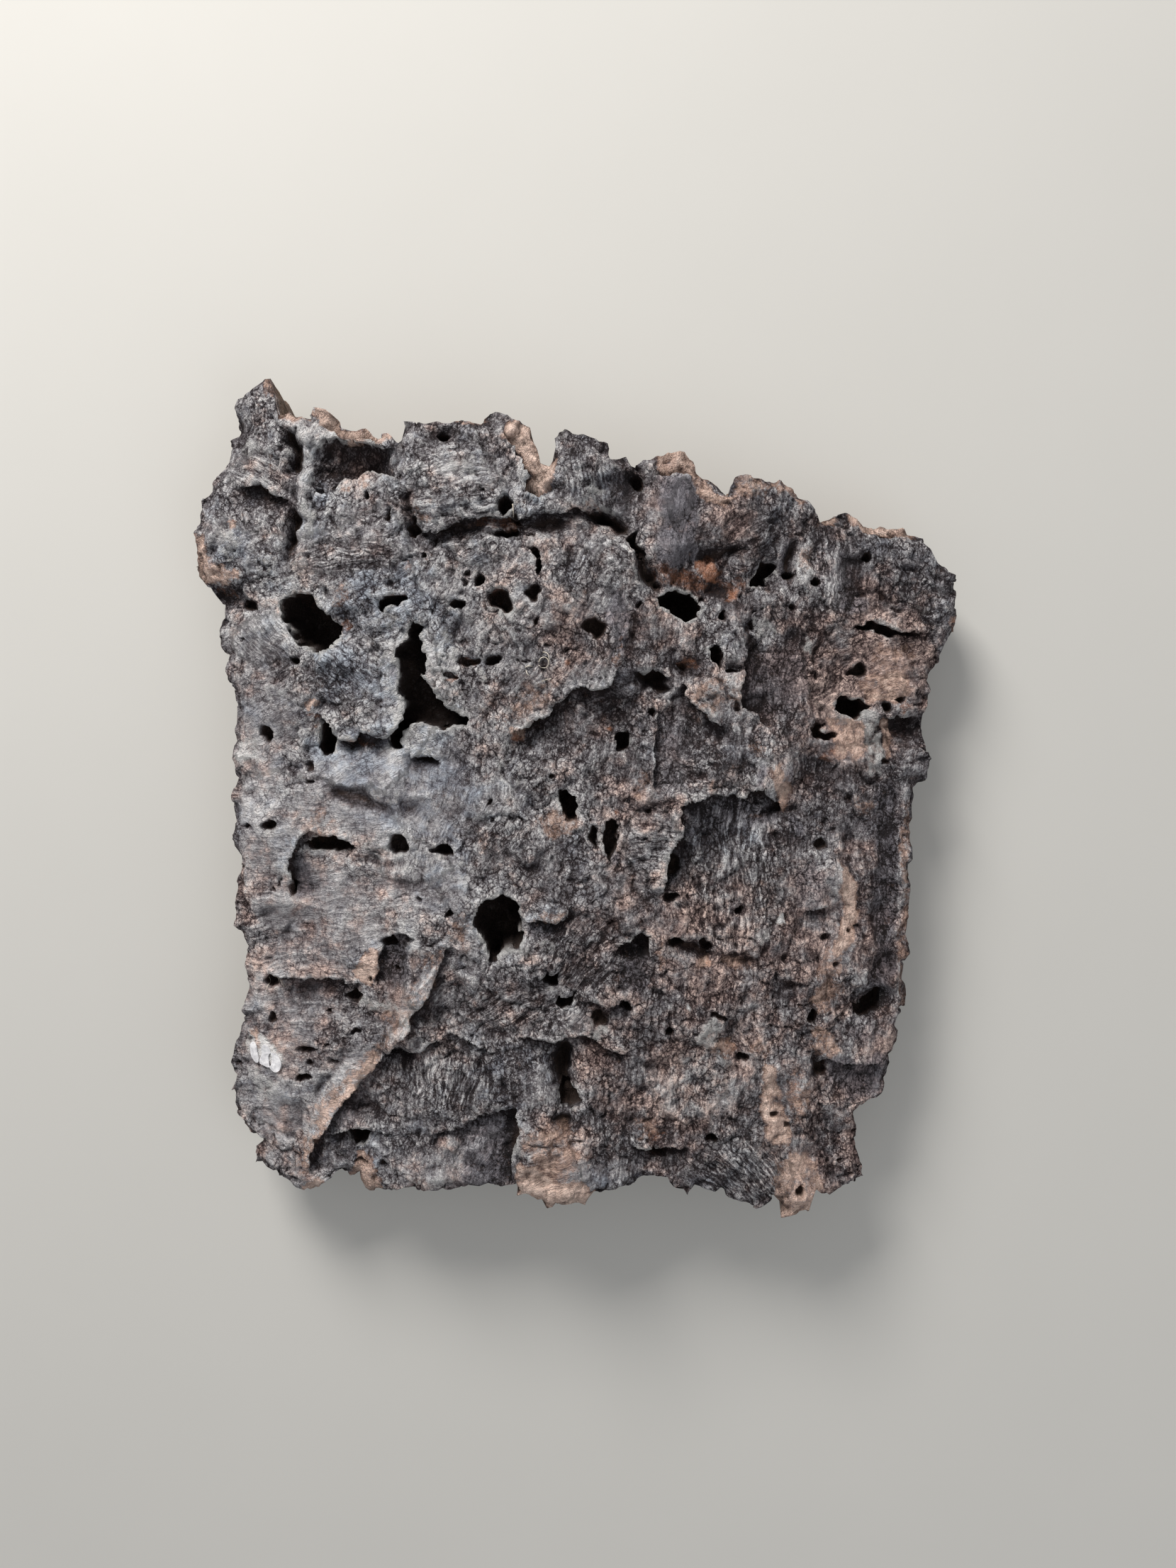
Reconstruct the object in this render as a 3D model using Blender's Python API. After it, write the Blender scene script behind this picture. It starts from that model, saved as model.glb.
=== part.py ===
# A slab of dried cork bark, lying on its back with the rough outer bark facing up.
# One grown piece. Lengths in the tables are millimetres, X to the right, Y up the trunk, Z out of the bark.
import bpy
import bmesh
import numpy as np

millimetre = 0.001
slabName = "cork_bark_slab"

crownHeight = 46.0  # outer bark above the floor along the middle line
crownDrop = 18.0  # how much lower it is at the side edges
halfWidth = 140.0
bellyHeight = 17.0  # inner side above the floor along the middle line
bellyDrop = 15.6
leastCork = 4.5  # cork left under the deepest pit
edgeInset = (0.045, 0.035)  # how far the inner side stays back from the outer rim, as a share of X and Y
edgeReach = 12.0  # how far an edge's jags run into the slab
slabAcross, slabAlong = 265.0, 290.0  # plain width and length, for distances from the rim
centreShift = (0.0, 4.5)  # puts the slab's middle on the origin
cells = (148, 164, 4)  # divisions across, along and down the broken edge
trianglesKept = 11200
tornStep = 1.5  # thickness of one torn layer of bark
softness = 1.0  # half the width of a lip's cliff

# Outline read off the bark by hand, each side in order of growing X or Y.
topRim = [
    (-127, 149), (-122, 151.5), (-117, 154), (-114, 155.5), (-111.4, 150), (-111.2, 144), (-110.6, 142),
    (-107, 144.5), (-104, 142.5), (-99, 142), (-96, 145), (-92, 144), (-90, 140), (-86.5, 138),
    (-82.5, 136.5), (-75.5, 136), (-73, 134), (-70, 135.5), (-67.5, 133), (-65.3, 132), (-64, 138),
    (-59, 137.5), (-55.5, 139), (-46.5, 139), (-40, 140), (-36, 138.5), (-32, 140), (-25.5, 140.5),
    (-21.5, 139), (-17.5, 136), (-15.6, 132), (-15.2, 126), (-11.5, 123), (-9, 126), (-8.2, 130.5),
    (-6.5, 134), (-2, 134), (2, 133), (6, 130.5), (10, 129), (12, 126), (15, 124.5), (17.7, 126),
    (20.5, 123), (23, 126), (27, 125.7), (30.5, 126), (35, 128.4), (38, 127.3), (41.5, 125), (43.2, 121),
    (46.5, 117.5), (50.4, 114), (54, 111.4), (55.7, 115.5), (59, 118), (63.7, 119.7), (69, 117.5),
    (74, 118), (78.4, 115), (82, 112.5), (85, 110), (85.8, 105), (89, 104.3), (94, 105), (100.3, 107),
    (103.4, 104), (107, 102.4), (114, 102.4), (120.6, 101.3), (125, 100), (130, 97.6),
]
bottomRim = [
    (-128, -148), (-124.5, -147), (-120.5, -150), (-118, -151), (-113, -154.5), (-108, -157), (-104.5, -157),
    (-102, -155.5), (-100.5, -153), (-98, -151), (-94, -149), (-91, -148.5), (-88.5, -149.5), (-85, -149),
    (-83, -152.5), (-81.5, -154.5), (-78.5, -154.5), (-76, -153), (-70.5, -153), (-65.5, -152),
    (-62, -153.5), (-54.5, -152), (-47, -152), (-40, -150.5), (-35, -149), (-31, -150), (-25, -149),
    (-23.4, -154), (-20, -154.5), (-17, -156), (-11.5, -157), (-9, -155), (-2, -156), (4, -156),
    (6, -153), (10, -152), (14, -150), (20, -150), (25, -149), (29, -147), (35, -147.5), (38, -151),
    (43, -154.5), (45, -151), (48, -151), (52, -153), (57, -155.5), (63, -158.5), (70, -160), (73.5, -158.5),
    (75.5, -155), (77.3, -158.5), (80, -163.5), (84, -164.5), (88, -163.5), (89.6, -161), (91, -155),
    (95, -156), (98, -156.5), (101, -154.5), (104, -154), (109, -151.5),
]
leftRim = [
    (-128, -148), (-127, -144), (-125, -140), (-123.5, -138), (-125, -136), (-129, -134), (-133, -130),
    (-135.5, -127), (-136, -120), (-135, -110), (-135, -105), (-133, -100), (-133.5, -95), (-131, -90),
    (-129.5, -85), (-129.5, -68), (-130.7, -60), (-131, -55), (-133.5, -51), (-134, -45), (-132, -38),
    (-132, -32), (-131, -25), (-134, -21), (-135, -18), (-133, -13), (-133, -3), (-132.5, 0), (-132, 10),
    (-130.6, 20), (-131, 30), (-130, 37), (-130.5, 41), (-133, 44), (-133.5, 47), (-133, 55), (-136, 60),
    (-135, 66), (-133, 70), (-134, 73), (-139, 77), (-142, 81), (-144, 85), (-145, 90), (-144, 97),
    (-144, 103), (-142, 108), (-140, 113), (-136, 119), (-133, 124), (-129, 130), (-130.5, 133.5),
    (-127, 137), (-126, 142), (-127, 149),
]
rightRim = [
    (109, -151.5), (112, -149), (111.5, -146), (109.5, -142), (109, -135), (108, -128), (108.7, -121),
    (112, -118.5), (118, -116.5), (120, -112), (121, -106), (123, -98), (123.5, -91), (125.5, -83),
    (125.5, -74), (126.5, -60), (126.5, -50), (127, -40), (127, -20), (127.5, 0), (128.5, 5), (131, 8.5),
    (133.5, 12), (131, 18), (130.5, 23), (131, 30), (133, 40), (135.5, 48), (138, 52.4), (139.3, 56),
    (141.5, 60.4), (144.6, 64.7), (145, 68), (141, 73), (142, 76.6), (141, 80), (143.7, 83), (139, 88),
    (135, 91), (130.8, 95), (130, 97.6),
]

# Lips: the bark left of the walking direction stands high and the bark right of it drops away.
# points, drop at the lip, how far the drop runs out.
lips = [
    ([(-27, 23), (-22, 25.5), (-18, 28), (-13, 33), (-8, 37), (-4, 38.5), (4, 41), (8, 40.5), (11, 43),
      (14, 47), (17, 50)], 7.0, 15.0),
    ([(19, 47.5), (25, 46), (28, 48), (32, 46), (35, 44.5)], 6.0, 6.0),
    ([(36, 44), (40, 42), (41, 37), (45, 33), (50, 28), (56, 27.5)], 5.0, 8.0),
    ([(32, -37), (33, -28), (34, -22), (38.5, -14), (38.5, -4), (40, -1.5), (45, -0.5), (50, 1), (60, 1.5),
      (63, 4), (68, 4), (72, 1), (75, -2), (77, -7)], 8.0, 18.0),
    ([(-99, 31), (-94, 29), (-90, 25), (-84, 21.5), (-80, 25), (-76, 23.5), (-72, 23), (-67, 28),
      (-65, 33), (-65.5, 37)], 8.0, 5.0),
    ([(-127, 117), (-118, 117.5), (-112, 113), (-105, 111)], 6.0, 7.0),
    ([(-62, 117), (-70, 120), (-78, 121), (-85, 118), (-90, 114), (-98, 114)], 6.0, 8.0),
    ([(-110, -40), (-110, -24), (-106, -19), (-102, -14.5), (-97, -14), (-92, -15), (-88, -17),
      (-83, -21)], 8.0, 12.0),
    ([(-122, -69), (-115, -69.5), (-105, -71), (-100, -69.5), (-95, -69), (-91, -71), (-89, -73.5),
      (-82, -73.5)], 7.0, 10.0),
    ([(-106, -150), (-103, -135), (-100, -133), (-97, -126), (-90, -119), (-82, -109), (-77, -102),
      (-66, -90), (-62, -82), (-57, -75), (-52, -62), (-49, -54)], 9.0, 16.0),
    ([(-100, -133), (-89, -130), (-80, -129.5), (-72, -131)], 5.0, 7.0),
    ([(-78, -97), (-65, -98.5), (-60, -98), (-55, -92.5), (-50, -90.5), (-45, -91), (-37, -96),
      (-31, -97)], 4.0, 7.0),
    ([(-24, -91), (-10, -92.5), (-3, -91), (5, -91), (8, -93), (15, -96), (20, -97)], 5.0, 10.0),
    ([(-60, -130), (-50, -128.5), (-46, -127), (-38, -122.5), (-30, -121.5), (-22, -118.5)], 7.0, 10.0),
    ([(-22, -117), (-22.5, -125), (-24, -130), (-24, -140), (-23.5, -155)], 8.0, 14.0),
    ([(-22, -43), (-20, -45.5), (-14, -45.5), (-8, -46), (-4, -44), (-3, -38)], 5.0, 7.0),
    ([(-2, -75), (2, -77), (10, -79.5), (16, -76.5), (21, -77)], 5.0, 7.0),
    ([(13, -58), (18, -53), (22, -50.5), (27, -51), (28, -56), (29, -63)], 7.0, 10.0),
    ([(29, 1), (29.5, 10), (28, 20), (29, 30), (31, 37)], 3.5, 10.0),
    ([(71, 25), (66, 30), (61, 35), (61, 50), (62, 60)], 4.5, 10.0),
    ([(114, 31), (119, 31.5), (124, 32), (130, 30)], 6.0, 7.0),
    ([(84, -43.5), (89, -43), (97, -42)], 4.0, 5.0),
    ([(-64, 18), (-62, 15), (-58, 14.5), (-54, 16), (-50, 12)], 4.0, 6.0),
    ([(-99, 131), (-92, 132), (-86, 131), (-80, 130), (-73, 129), (-66, 128)], 6.0, 9.0),
    ([(-62, 98), (-50, 99), (-40, 104), (-30, 104), (-10, 104), (0, 106), (7, 105)], 6.0, 7.0),
    ([(100, 65), (109, 66.5), (113, 65), (122, 63), (131, 60.5)], 4.0, 6.0),
    ([(18, -133.5), (30, -134.5), (42, -134)], 6.0, 9.0),
    ([(-75, -53), (-70, -51.5), (-65, -51.5), (-60, -54)], 5.0, 8.0),
    ([(-76, -74), (-77, -68), (-75.5, -60), (-74, -53)], 4.0, 9.0),
    ([(92, -101), (100, -103), (118, -105)], 4.0, 8.0),
    ([(-69, 134), (-75, 132), (-82, 131), (-89, 133), (-95, 139)], 7.0, 9.0),
    ([(-9, 112), (-14, 111), (-19, 113), (-17, 118), (-20, 124), (-26, 131), (-26, 137)], 7.0, 12.0),
    ([(46, 118), (38, 119.5), (30, 120), (26, 120)], 5.0, 8.0),
    ([(128, 98), (112, 98.5), (103, 99)], 5.0, 6.0),
]

# Long swellings and furrows: points, half width, height (negative cuts in).
runs = [
    ([(-107, 137), (-101, 131), (-99, 122), (-101, 113), (-101, 104), (-104, 95), (-107, 86)], 2.6, 4.0),
    ([(-109, 137), (-104, 130), (-104, 120), (-105, 111), (-104, 103), (-105, 96), (-109, 87)], 2.2, -7.0),
    ([(0, 106), (10, 103.5), (17, 101), (20, 98), (22, 90), (24, 84), (30, 77)], 2.4, -8.0),
    ([(20, 47), (25, 45), (29, 45), (32, 42), (29, 39.5)], 2.2, -6.0),
    ([(33, -53), (38, -56), (44, -58), (50, -61), (56, -63), (67, -64)], 2.0, -5.0),
    ([(29, -50), (30, -57), (34, -62)], 2.4, 3.0),
    ([(-61, 116), (-62, 106), (-60, 96)], 1.6, -3.5),
    ([(-50, 100), (-36, 101), (-20, 100), (-6, 102)], 4.0, -4.0),
    ([(-95, 5), (-85, 1), (-78, -2), (-70, -5), (-62, -3)], 3.6, -4.0),
    ([(-82, -22), (-74, -24.5), (-64, -25)], 2.6, -2.5),
    ([(-77, -32), (-66, -33), (-55, -32)], 2.6, -2.5),
    ([(-92, 22), (-84, 20), (-76, 21), (-68, 20)], 2.6, -4.0),
    ([(15, -2), (22, -3.5), (27, -4), (31, -1.5), (39, -1)], 1.6, -3.0),
    ([(-33, -18), (-27, -22), (-21, -26), (-12, -27)], 2.2, -3.0),
    ([(67, -12), (75, -16), (82, -17), (90, -18)], 2.6, -3.0),
    ([(-6, -92), (-7, -104), (-5, -114), (-6, -126)], 4.2, -8.0),
    ([(-12, -94), (-13, -108), (-12, -124)], 3.4, 2.5),
    ([(115, 5), (117, -30), (116, -60), (113, -88), (112, -104)], 4.5, -5.0),
    ([(123, 0), (123.5, -30), (122.5, -60), (120, -100)], 2.6, 2.0),
    ([(70, -102), (74, -112), (73, -120), (75, -133)], 3.0, 3.0),
    ([(-104, -135), (-106, -142), (-106.5, -149)], 2.0, 3.5),
    ([(91, -96), (90.5, -103), (92, -111)], 1.8, -4.0),
    ([(83, 98), (84, 86), (82, 74)], 3.0, 3.0),
    ([(78.5, 98), (78, 86), (77, 76)], 2.6, -4.5),
    ([(87.5, 98), (88, 84)], 2.0, -3.0),
    ([(102, 92), (103, 80), (101, 72)], 3.4, -3.0),
    ([(42, 90), (48, 91), (60, 92), (64, 90)], 2.4, -4.5),
    ([(46, 79), (54, 76), (62, 71)], 2.6, -3.5),
    ([(63, 70), (64, 60), (65, 50)], 2.0, -4.0),
    ([(90, 72), (86, 62), (84, 58)], 2.6, -3.0),
    ([(20, 72), (20, 60), (18, 50)], 1.8, -3.5),
    ([(-26, 107), (-34, 104), (-42, 101)], 2.2, -2.5),
    ([(50, 49.5), (61, 49)], 1.5, -4.0),
    ([(70, -71), (84, -71)], 1.8, -3.0),
    ([(-62, -100), (-70, -98), (-76, -98)], 1.8, -4.5),
    ([(94, -44), (99, -52), (98, -64)], 4.0, 2.0),
    ([(88, -104), (86, -120), (84, -140), (84, -160)], 5.0, 2.5),
    ([(-129, -90), (-122, -92), (-118, -90)], 2.0, -2.5),
    ([(-48, -127), (-44, -138), (-34, -146)], 3.0, -2.5),
]

# Broad swellings and hollows: centre, radii, turn in degrees, height.
humps = [
    (-82, 100, 20, 22, 0, 3.0), (-80, 44, 17, 20, 10, 4.0), (-42, 118, 20, 18, 0, 3.0),
    (-15, 76, 26, 24, 0, 2.0), (5, 118, 12, 14, 0, 2.5), (34, 104, 9, 20, 0, 2.0), (55, 100, 14, 14, 0, 2.0),
    (74, 13, 9, 13, 0, 5.0), (50, 38, 12, 10, 0, 3.0), (93, -28, 8, 13, 0, 3.0), (50, -88, 7, 9, 0, 3.0),
    (-8, -140, 16, 18, 0, 3.5), (-38, -136, 14, 16, 0, -5.0), (-92, -32, 17, 13, 0, -4.0),
    (-103, -80, 16, 9, 0, -4.5), (56, -28, 16, 26, 0, -4.5), (8, 22, 22, 20, 0, -2.5), (62, 30, 6, 8, 0, 1.0),
    (-118, -22, 12, 30, 0, 2.0), (-120, 95, 20, 16, 0, 2.0), (-58, -62, 12, 14, 0, 1.5),
    (60, -145, 18, 14, 0, 1.5), (103, 20, 9, 11, 0, 1.5), (118, 78, 18, 16, 0, 1.5), (-120, -105, 12, 14, 0, 2.0),
    (-84, 124, 14, 7, 0, -4.0), (43, 82, 10, 9, 0, -3.0), (70, 84, 6, 7, 0, -4.0), (41, 49.5, 6, 5, 0, -4.5),
    (124, 26, 6.5, 6, 0, -5.0), (104, -112, 14, 6, 0, -2.5), (-87, 66, 5, 5, 0, -4.0), (-70, -62, 6, 9, 0, -3.5),
    (-132, 76, 7, 4, -20, -7.0), (14, 58, 4, 14, 0, 1.5), (20, 118, 5, 6, 0, -5.0), (-108, 127, 3, 3, 0, 1.0),
    (-50, 134, 6, 3, 0, -4.0), (-12, 126, 3, 3, 0, -5.0), (-7, 113, 6, 3, 0, -2.5), (80, 60, 4, 4, 0, -3.0),
    (112, -80, 7, 5, 0, -5.0),
]

# Broken pits: outline, depth.
pits = [
    ([(-111, 74), (-110, 68), (-107.5, 62), (-104, 58.5), (-98, 55), (-94, 56.5), (-90, 60), (-89, 64.5),
      (-92, 67), (-96, 71), (-99, 75), (-104, 76.5)], 22.0),
    ([(-75, 71), (-74, 74.5), (-70, 76), (-62, 75.7), (-61, 73.5), (-66, 73), (-70, 72), (-72, 69.5)], 11.0),
    ([(-61.5, 67.5), (-57, 66), (-58, 60), (-57.5, 55), (-55, 52), (-55.5, 48.5), (-58.5, 46), (-55, 43),
      (-53, 38.5), (-50, 34.5), (-44, 31.5), (-40, 30), (-40, 28), (-47, 27.5), (-54, 26.5), (-58, 28),
      (-63, 27), (-66, 24), (-64.5, 20.5), (-67, 18.5), (-71, 20), (-69, 25), (-65.5, 30), (-65, 36),
      (-67.5, 41), (-66.5, 49), (-67, 56), (-63, 60)], 21.0),
    ([(29.5, 75), (29.5, 70.5), (33, 69), (36, 66.5), (39, 66), (43, 68), (44.5, 71), (44, 74.5), (40, 76.5),
      (34, 76.5)], 22.0),
    ([(-37, -40), (-35, -37.5), (-31, -36), (-28, -34.5), (-25, -36.5), (-22.5, -40), (-22, -45), (-22, -50),
      (-23, -56), (-26, -55), (-30, -58), (-31, -62), (-35, -61), (-34.5, -56), (-36, -52), (-38.5, -49),
      (-38, -44)], 21.0),
    ([(96, 33), (97.5, 36.5), (100.5, 38), (103, 37), (106, 37), (109, 34), (106.5, 32), (104, 29.5),
      (101, 30.5)], 15.0),
    ([(-6.5, 3.5), (-3, 3), (-0.5, 1), (0.3, -2), (-0.5, -8), (-6, -7.8), (-6.5, -3)], 13.0),
    ([(13.3, 26), (18.5, 25.5), (18.5, 18), (16.5, 17), (14, 18)], 10.0),
    ([(10, -10), (11.5, -7.5), (14, -10), (14.8, -14), (14, -21), (12, -24), (10, -19)], 8.0),
    ([(-10, -75), (-6, -75.5), (-0.8, -74.5), (-3, -78), (-6, -80.5), (-8.5, -79)], 10.0),
    ([(-14.5, -69.5), (-11, -66), (-7, -66.5), (-7, -70), (-10, -71)], 9.0),
    ([(-98, 18.5), (-96.5, 28.5), (-94, 29), (-91, 23), (-92.5, 18), (-96, 16)], 13.0),
    ([(-106, -19.5), (-102, -15), (-97, -14.5), (-92, -15.5), (-88, -17.5), (-85.5, -19.5), (-92, -20.5),
      (-99, -20)], 9.0),
    ([(-90, -130.5), (-80, -130), (-82.5, -136.5), (-86, -137)], 9.0),
    ([(-6.5, -109), (-3.5, -108.5), (0, -112), (0, -116), (-2.5, -118), (-7, -117.5)], 9.0),
    ([(-18, 93), (-15, 91.5), (-12.5, 86), (-13.3, 82), (-16, 85), (-16.5, 89)], 8.0),
    ([(19.3, 100.5), (22, 97), (23.4, 92), (23.6, 87.5), (20.8, 91), (19, 96)], 9.0),
    ([(64, 80.5), (65.5, 87), (68, 89.5), (72, 88.5), (73, 86), (70, 84), (70.5, 80.5)], 10.0),
    ([(103.5, 64.8), (109, 66.5), (113, 64.5), (122, 63), (129, 61), (120, 60.7), (112, 61.5),
      (108, 63)], 7.0),
    ([(105, -81), (109, -82), (112, -79), (115, -75.5), (117.5, -75), (116, -84), (110, -86),
      (106, -85)], 7.0),
    ([(-56, -20), (-50, -17.3), (-47, -18.5), (-46.3, -22), (-49, -23)], 9.0),
    ([(48, 55.5), (52, 57), (53.5, 52), (52, 47.5), (50, 50)], 9.0),
    ([(87.5, 24), (89, 28), (92, 28), (92, 25), (97, 24), (97.5, 22), (92, 22)], 7.0),
]

# Round holes: centre, radii, depth.
holes = [
    (-28, 74, 5, 4.6, 10), (-36.5, 81, 2.2, 3.0, 7), (-17, 76.5, 2.2, 3.2, 6), (-26.8, 107.5, 2.8, 3.2, 10),
    (-26, 98, 4.2, 1.8, 7), (10, 103.5, 2.3, 1.9, 7), (77, 82.5, 2.7, 1.8, 5), (88.5, 81, 1.9, 1.8, 6),
    (5, 63, 4.6, 3.2, 6), (-31.5, 52, 2.5, 2.0, 6), (-40, 51.5, 4.2, 2.0, 4), (-118.5, 24.5, 2.6, 3.2, 6),
    (-118, -11.5, 3.2, 1.7, 6), (-67.5, -17, 3.4, 3.2, 7), (-107, 52, 1.8, 2.0, 5), (-109, -36, 1.8, 3.2, 4),
    (89.5, -85, 2.2, 2.8, 6), (93.5, -106, 2.2, 3.6, 5), (50, -132, 2.6, 1.8, 6), (34, -87.5, 1.8, 2.2, 5),
    (47, -56, 2.3, 2.3, 7), (36, -54.5, 3.0, 1.8, 5), (18.5, -79, 2.8, 2.0, 7), (8, -84, 3.0, 3.6, 4),
    (121, 36.5, 1.9, 1.9, 5), (116, 32.8, 1.8, 2.0, 5), (104.5, 47.5, 3.0, 3.0, 5), (-72, -54.5, 3.4, 1.9, 6),
    (-118, -73, 3.2, 2.6, 6), (-119, -87, 2.2, 2.2, 4), (-87, -77.5, 4.2, 2.2, 5), (-105, -98, 4.0, 1.7, 5),
    (-106, -109.5, 3.0, 1.7, 5), (29, -137, 5.0, 2.0, 5), (-124, 72, 2.6, 2.4, 6), (-44, 72.5, 3.2, 1.8, 6),
    (-60, 99, 3.0, 2.2, 5), (34.5, -37, 3.4, 1.9, 5), (63, -100, 3.0, 1.8, 5), (107.5, 91.5, 1.9, 1.9, 5),
    (57, 48, 2.2, 1.6, 4), (53, 69, 2.0, 2.2, 6), (-58, 15, 4.6, 1.8, 4), (36, -25, 2.8, 4.6, 4),
    (60.5, -43.5, 1.6, 2.4, 5), (21, 116, 2.8, 3.0, 6), (-48.5, -42.5, 2.0, 2.0, 5), (74, -122, 1.7, 1.7, 5),
    (84.5, -153.5, 1.8, 1.7, 5), (-49, 133, 2.8, 2.4, 6), (91, -17.5, 3.4, 1.8, 4), (6.5, -14.5, 1.8, 3.4, 6),
]

# Low spots of the inner side that the slab rests on: centre, radius.
restSpots = [(-124, 88, 8), (-124, -104, 8), (124, 66, 8), (115, -92, 8), (-126, -10, 6), (121, -10, 6)]


def patchNoise(x, y, size, seed):
    # smooth random swellings of one size, from -1 to 1
    table = np.random.default_rng(seed).random((64, 64)) * 2 - 1
    gridX = x / size
    gridY = y / size
    baseX = np.floor(gridX).astype(int)
    baseY = np.floor(gridY).astype(int)
    partX = gridX - baseX
    partY = gridY - baseY
    easeX = partX * partX * (3 - 2 * partX)
    easeY = partY * partY * (3 - 2 * partY)
    low = table[baseX % 64, baseY % 64] * (1 - easeX) + table[(baseX + 1) % 64, baseY % 64] * easeX
    high = table[baseX % 64, (baseY + 1) % 64] * (1 - easeX) + table[(baseX + 1) % 64, (baseY + 1) % 64] * easeX
    return low * (1 - easeY) + high * easeY


def layeredNoise(x, y, size, seed, layers):
    total = np.zeros_like(x)
    strength = 1.0
    for layer in range(layers):
        total += strength * patchNoise(x + 17.3 * layer, y - 9.1 * layer, size, seed + layer)
        size *= 0.47
        strength *= 0.5
    return total


def ramp(value, low, high):
    share = np.clip((value - low) / (high - low), 0, 1)
    return share * share * (3 - 2 * share)


def nearestOnLine(x, y, points):
    # distance to the line, the side (1 left of the walking direction), and the way walked to there
    best = np.full(x.shape, 1e9)
    side = np.ones(x.shape)
    walked = np.zeros(x.shape)
    before = 0.0
    for (ax, ay), (bx, by) in zip(points[:-1], points[1:]):
        dx = bx - ax
        dy = by - ay
        length = (dx * dx + dy * dy) ** 0.5
        share = np.clip(((x - ax) * dx + (y - ay) * dy) / length ** 2, 0, 1)
        offX = x - ax - share * dx
        offY = y - ay - share * dy
        distance = np.hypot(offX, offY)
        closer = distance < best
        best = np.where(closer, distance, best)
        side = np.where(closer, np.sign(dx * offY - dy * offX + 1e-12), side)
        walked = np.where(closer, before + share * length, walked)
        before += length
    return best, side, walked, before


def insideOutline(x, y, points):
    # distance to the outline, positive inside it
    loop = points + points[:1]
    distance = nearestOnLine(x, y, loop)[0]
    inside = np.zeros(x.shape, bool)
    for (ax, ay), (bx, by) in zip(loop[:-1], loop[1:]):
        if ay != by:
            crosses = (ay > y) != (by > y)
            inside ^= crosses & (x < (bx - ax) * (y - ay) / (by - ay) + ax)
    return np.where(inside, distance, -distance)


def nearby(x, y, points, margin):
    xs = [p[0] for p in points]
    ys = [p[1] for p in points]
    return ((x > min(xs) - margin) & (x < max(xs) + margin) & (y > min(ys) - margin) & (y < max(ys) + margin))


def ridged(x, y, size, seed, layers):
    # sharp crests between rounded hollows, about 0 on average
    total, strength = np.zeros_like(x), 1.0
    for layer in range(layers):
        crest = 1 - np.abs(patchNoise(x + 31 * layer, y + 7 * layer, size, seed + layer))
        total += strength * (crest ** 3 - 0.38)
        size *= 0.5
        strength *= 0.55
    return total


def tornLayers(x, y):
    # broad swells cut into steps, where layers of bark have come away
    swell = 3.2 * layeredNoise(x * 1.25, y * 0.9, 24, 107, 4)
    step = tornStep + 0.5 * patchNoise(x, y, 33, 109)
    return 0.6 * (np.floor(swell / step) + ramp(swell / step % 1, 0.40, 0.62)) * step


def outerBark(x, y):
    height = crownHeight - crownDrop * (x / halfWidth) ** 2
    height = height + 2.0 * patchNoise(x, y, 47, 3) + 1.2 * layeredNoise(x, y, 15, 11, 3)
    height += 1.5 * ridged(x + 3 * patchNoise(x, y, 12, 13), y + 3 * patchNoise(x, y, 12, 15), 27, 17, 2)
    height += tornLayers(x, y)
    # lips and pits follow slightly wandering lines
    wanderX = x + 1.5 * layeredNoise(x, y, 8, 21, 3)
    wanderY = y + 1.5 * layeredNoise(x, y, 8, 31, 3)
    for cx, cy, rx, ry, turn, lift in humps:
        angle = np.radians(turn)
        across = ((x - cx) * np.cos(angle) + (y - cy) * np.sin(angle)) / rx
        along = ((y - cy) * np.cos(angle) - (x - cx) * np.sin(angle)) / ry
        height = height + lift * np.exp(-(across ** 2 + along ** 2) ** 1.5)
    for points, drop, reach in lips:
        near = nearby(wanderX, wanderY, points, reach * 3.2)
        distance, side, walked, whole = nearestOnLine(wanderX[near], wanderY[near], points)
        signed = distance * side
        ends = ramp(walked, 0, 5) * ramp(whole - walked, 0, 5)
        ends *= 0.82 + 0.5 * patchNoise(walked, walked * 0 + drop, 8, 111)
        fall = -drop * 0.85 * np.exp(-np.maximum(-signed, 0) / reach)
        rise = drop * 0.32 * np.exp(-np.maximum(signed, 0) / 5)
        share = ramp(signed, -softness, softness)
        height[near] += ends * (fall * (1 - share) + rise * share) * np.where(distance < reach * 3, 1, 0)
    for points, half, lift in runs:
        near = nearby(wanderX, wanderY, points, half * 2.6)
        distance, side, walked, whole = nearestOnLine(wanderX[near], wanderY[near], points)
        ends = 0.25 + 0.75 * ramp(walked, 0, 4) * ramp(whole - walked, 0, 4)
        ends *= 0.75 + 0.7 * patchNoise(walked, walked * 0 + lift, 7, 113)
        height[near] += lift * ends * np.exp(-(distance / half) ** 2)
    for points, depth in pits:
        near = nearby(wanderX, wanderY, points, 4)
        within = insideOutline(wanderX[near], wanderY[near], points)
        height[near] -= depth * ramp(within, -0.6, 0.6 + depth * 0.07)
    for cx, cy, rx, ry, depth in holes:
        reach = np.hypot((wanderX - cx) / rx, (wanderY - cy) / ry)
        height = height - depth * ramp(-reach, -1.15, -0.6)
    return height


def innerSide(x, y):
    height = bellyHeight - bellyDrop * (x / 126.0) ** 2
    height = height + 1.0 * patchNoise(x, y, 36, 41) + 0.6 * layeredNoise(x * 2.2, y * 0.7, 16, 43, 2)
    height = np.maximum(height, 1.0)
    for cx, cy, radius in restSpots:
        height = height * ramp(np.hypot(x - cx, y - cy), radius * 0.75, radius * 2.2)
    return height


def rimCurve(points, key):
    array = np.array(points, float)
    return array[:, key], array[:, 1 - key]


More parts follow.
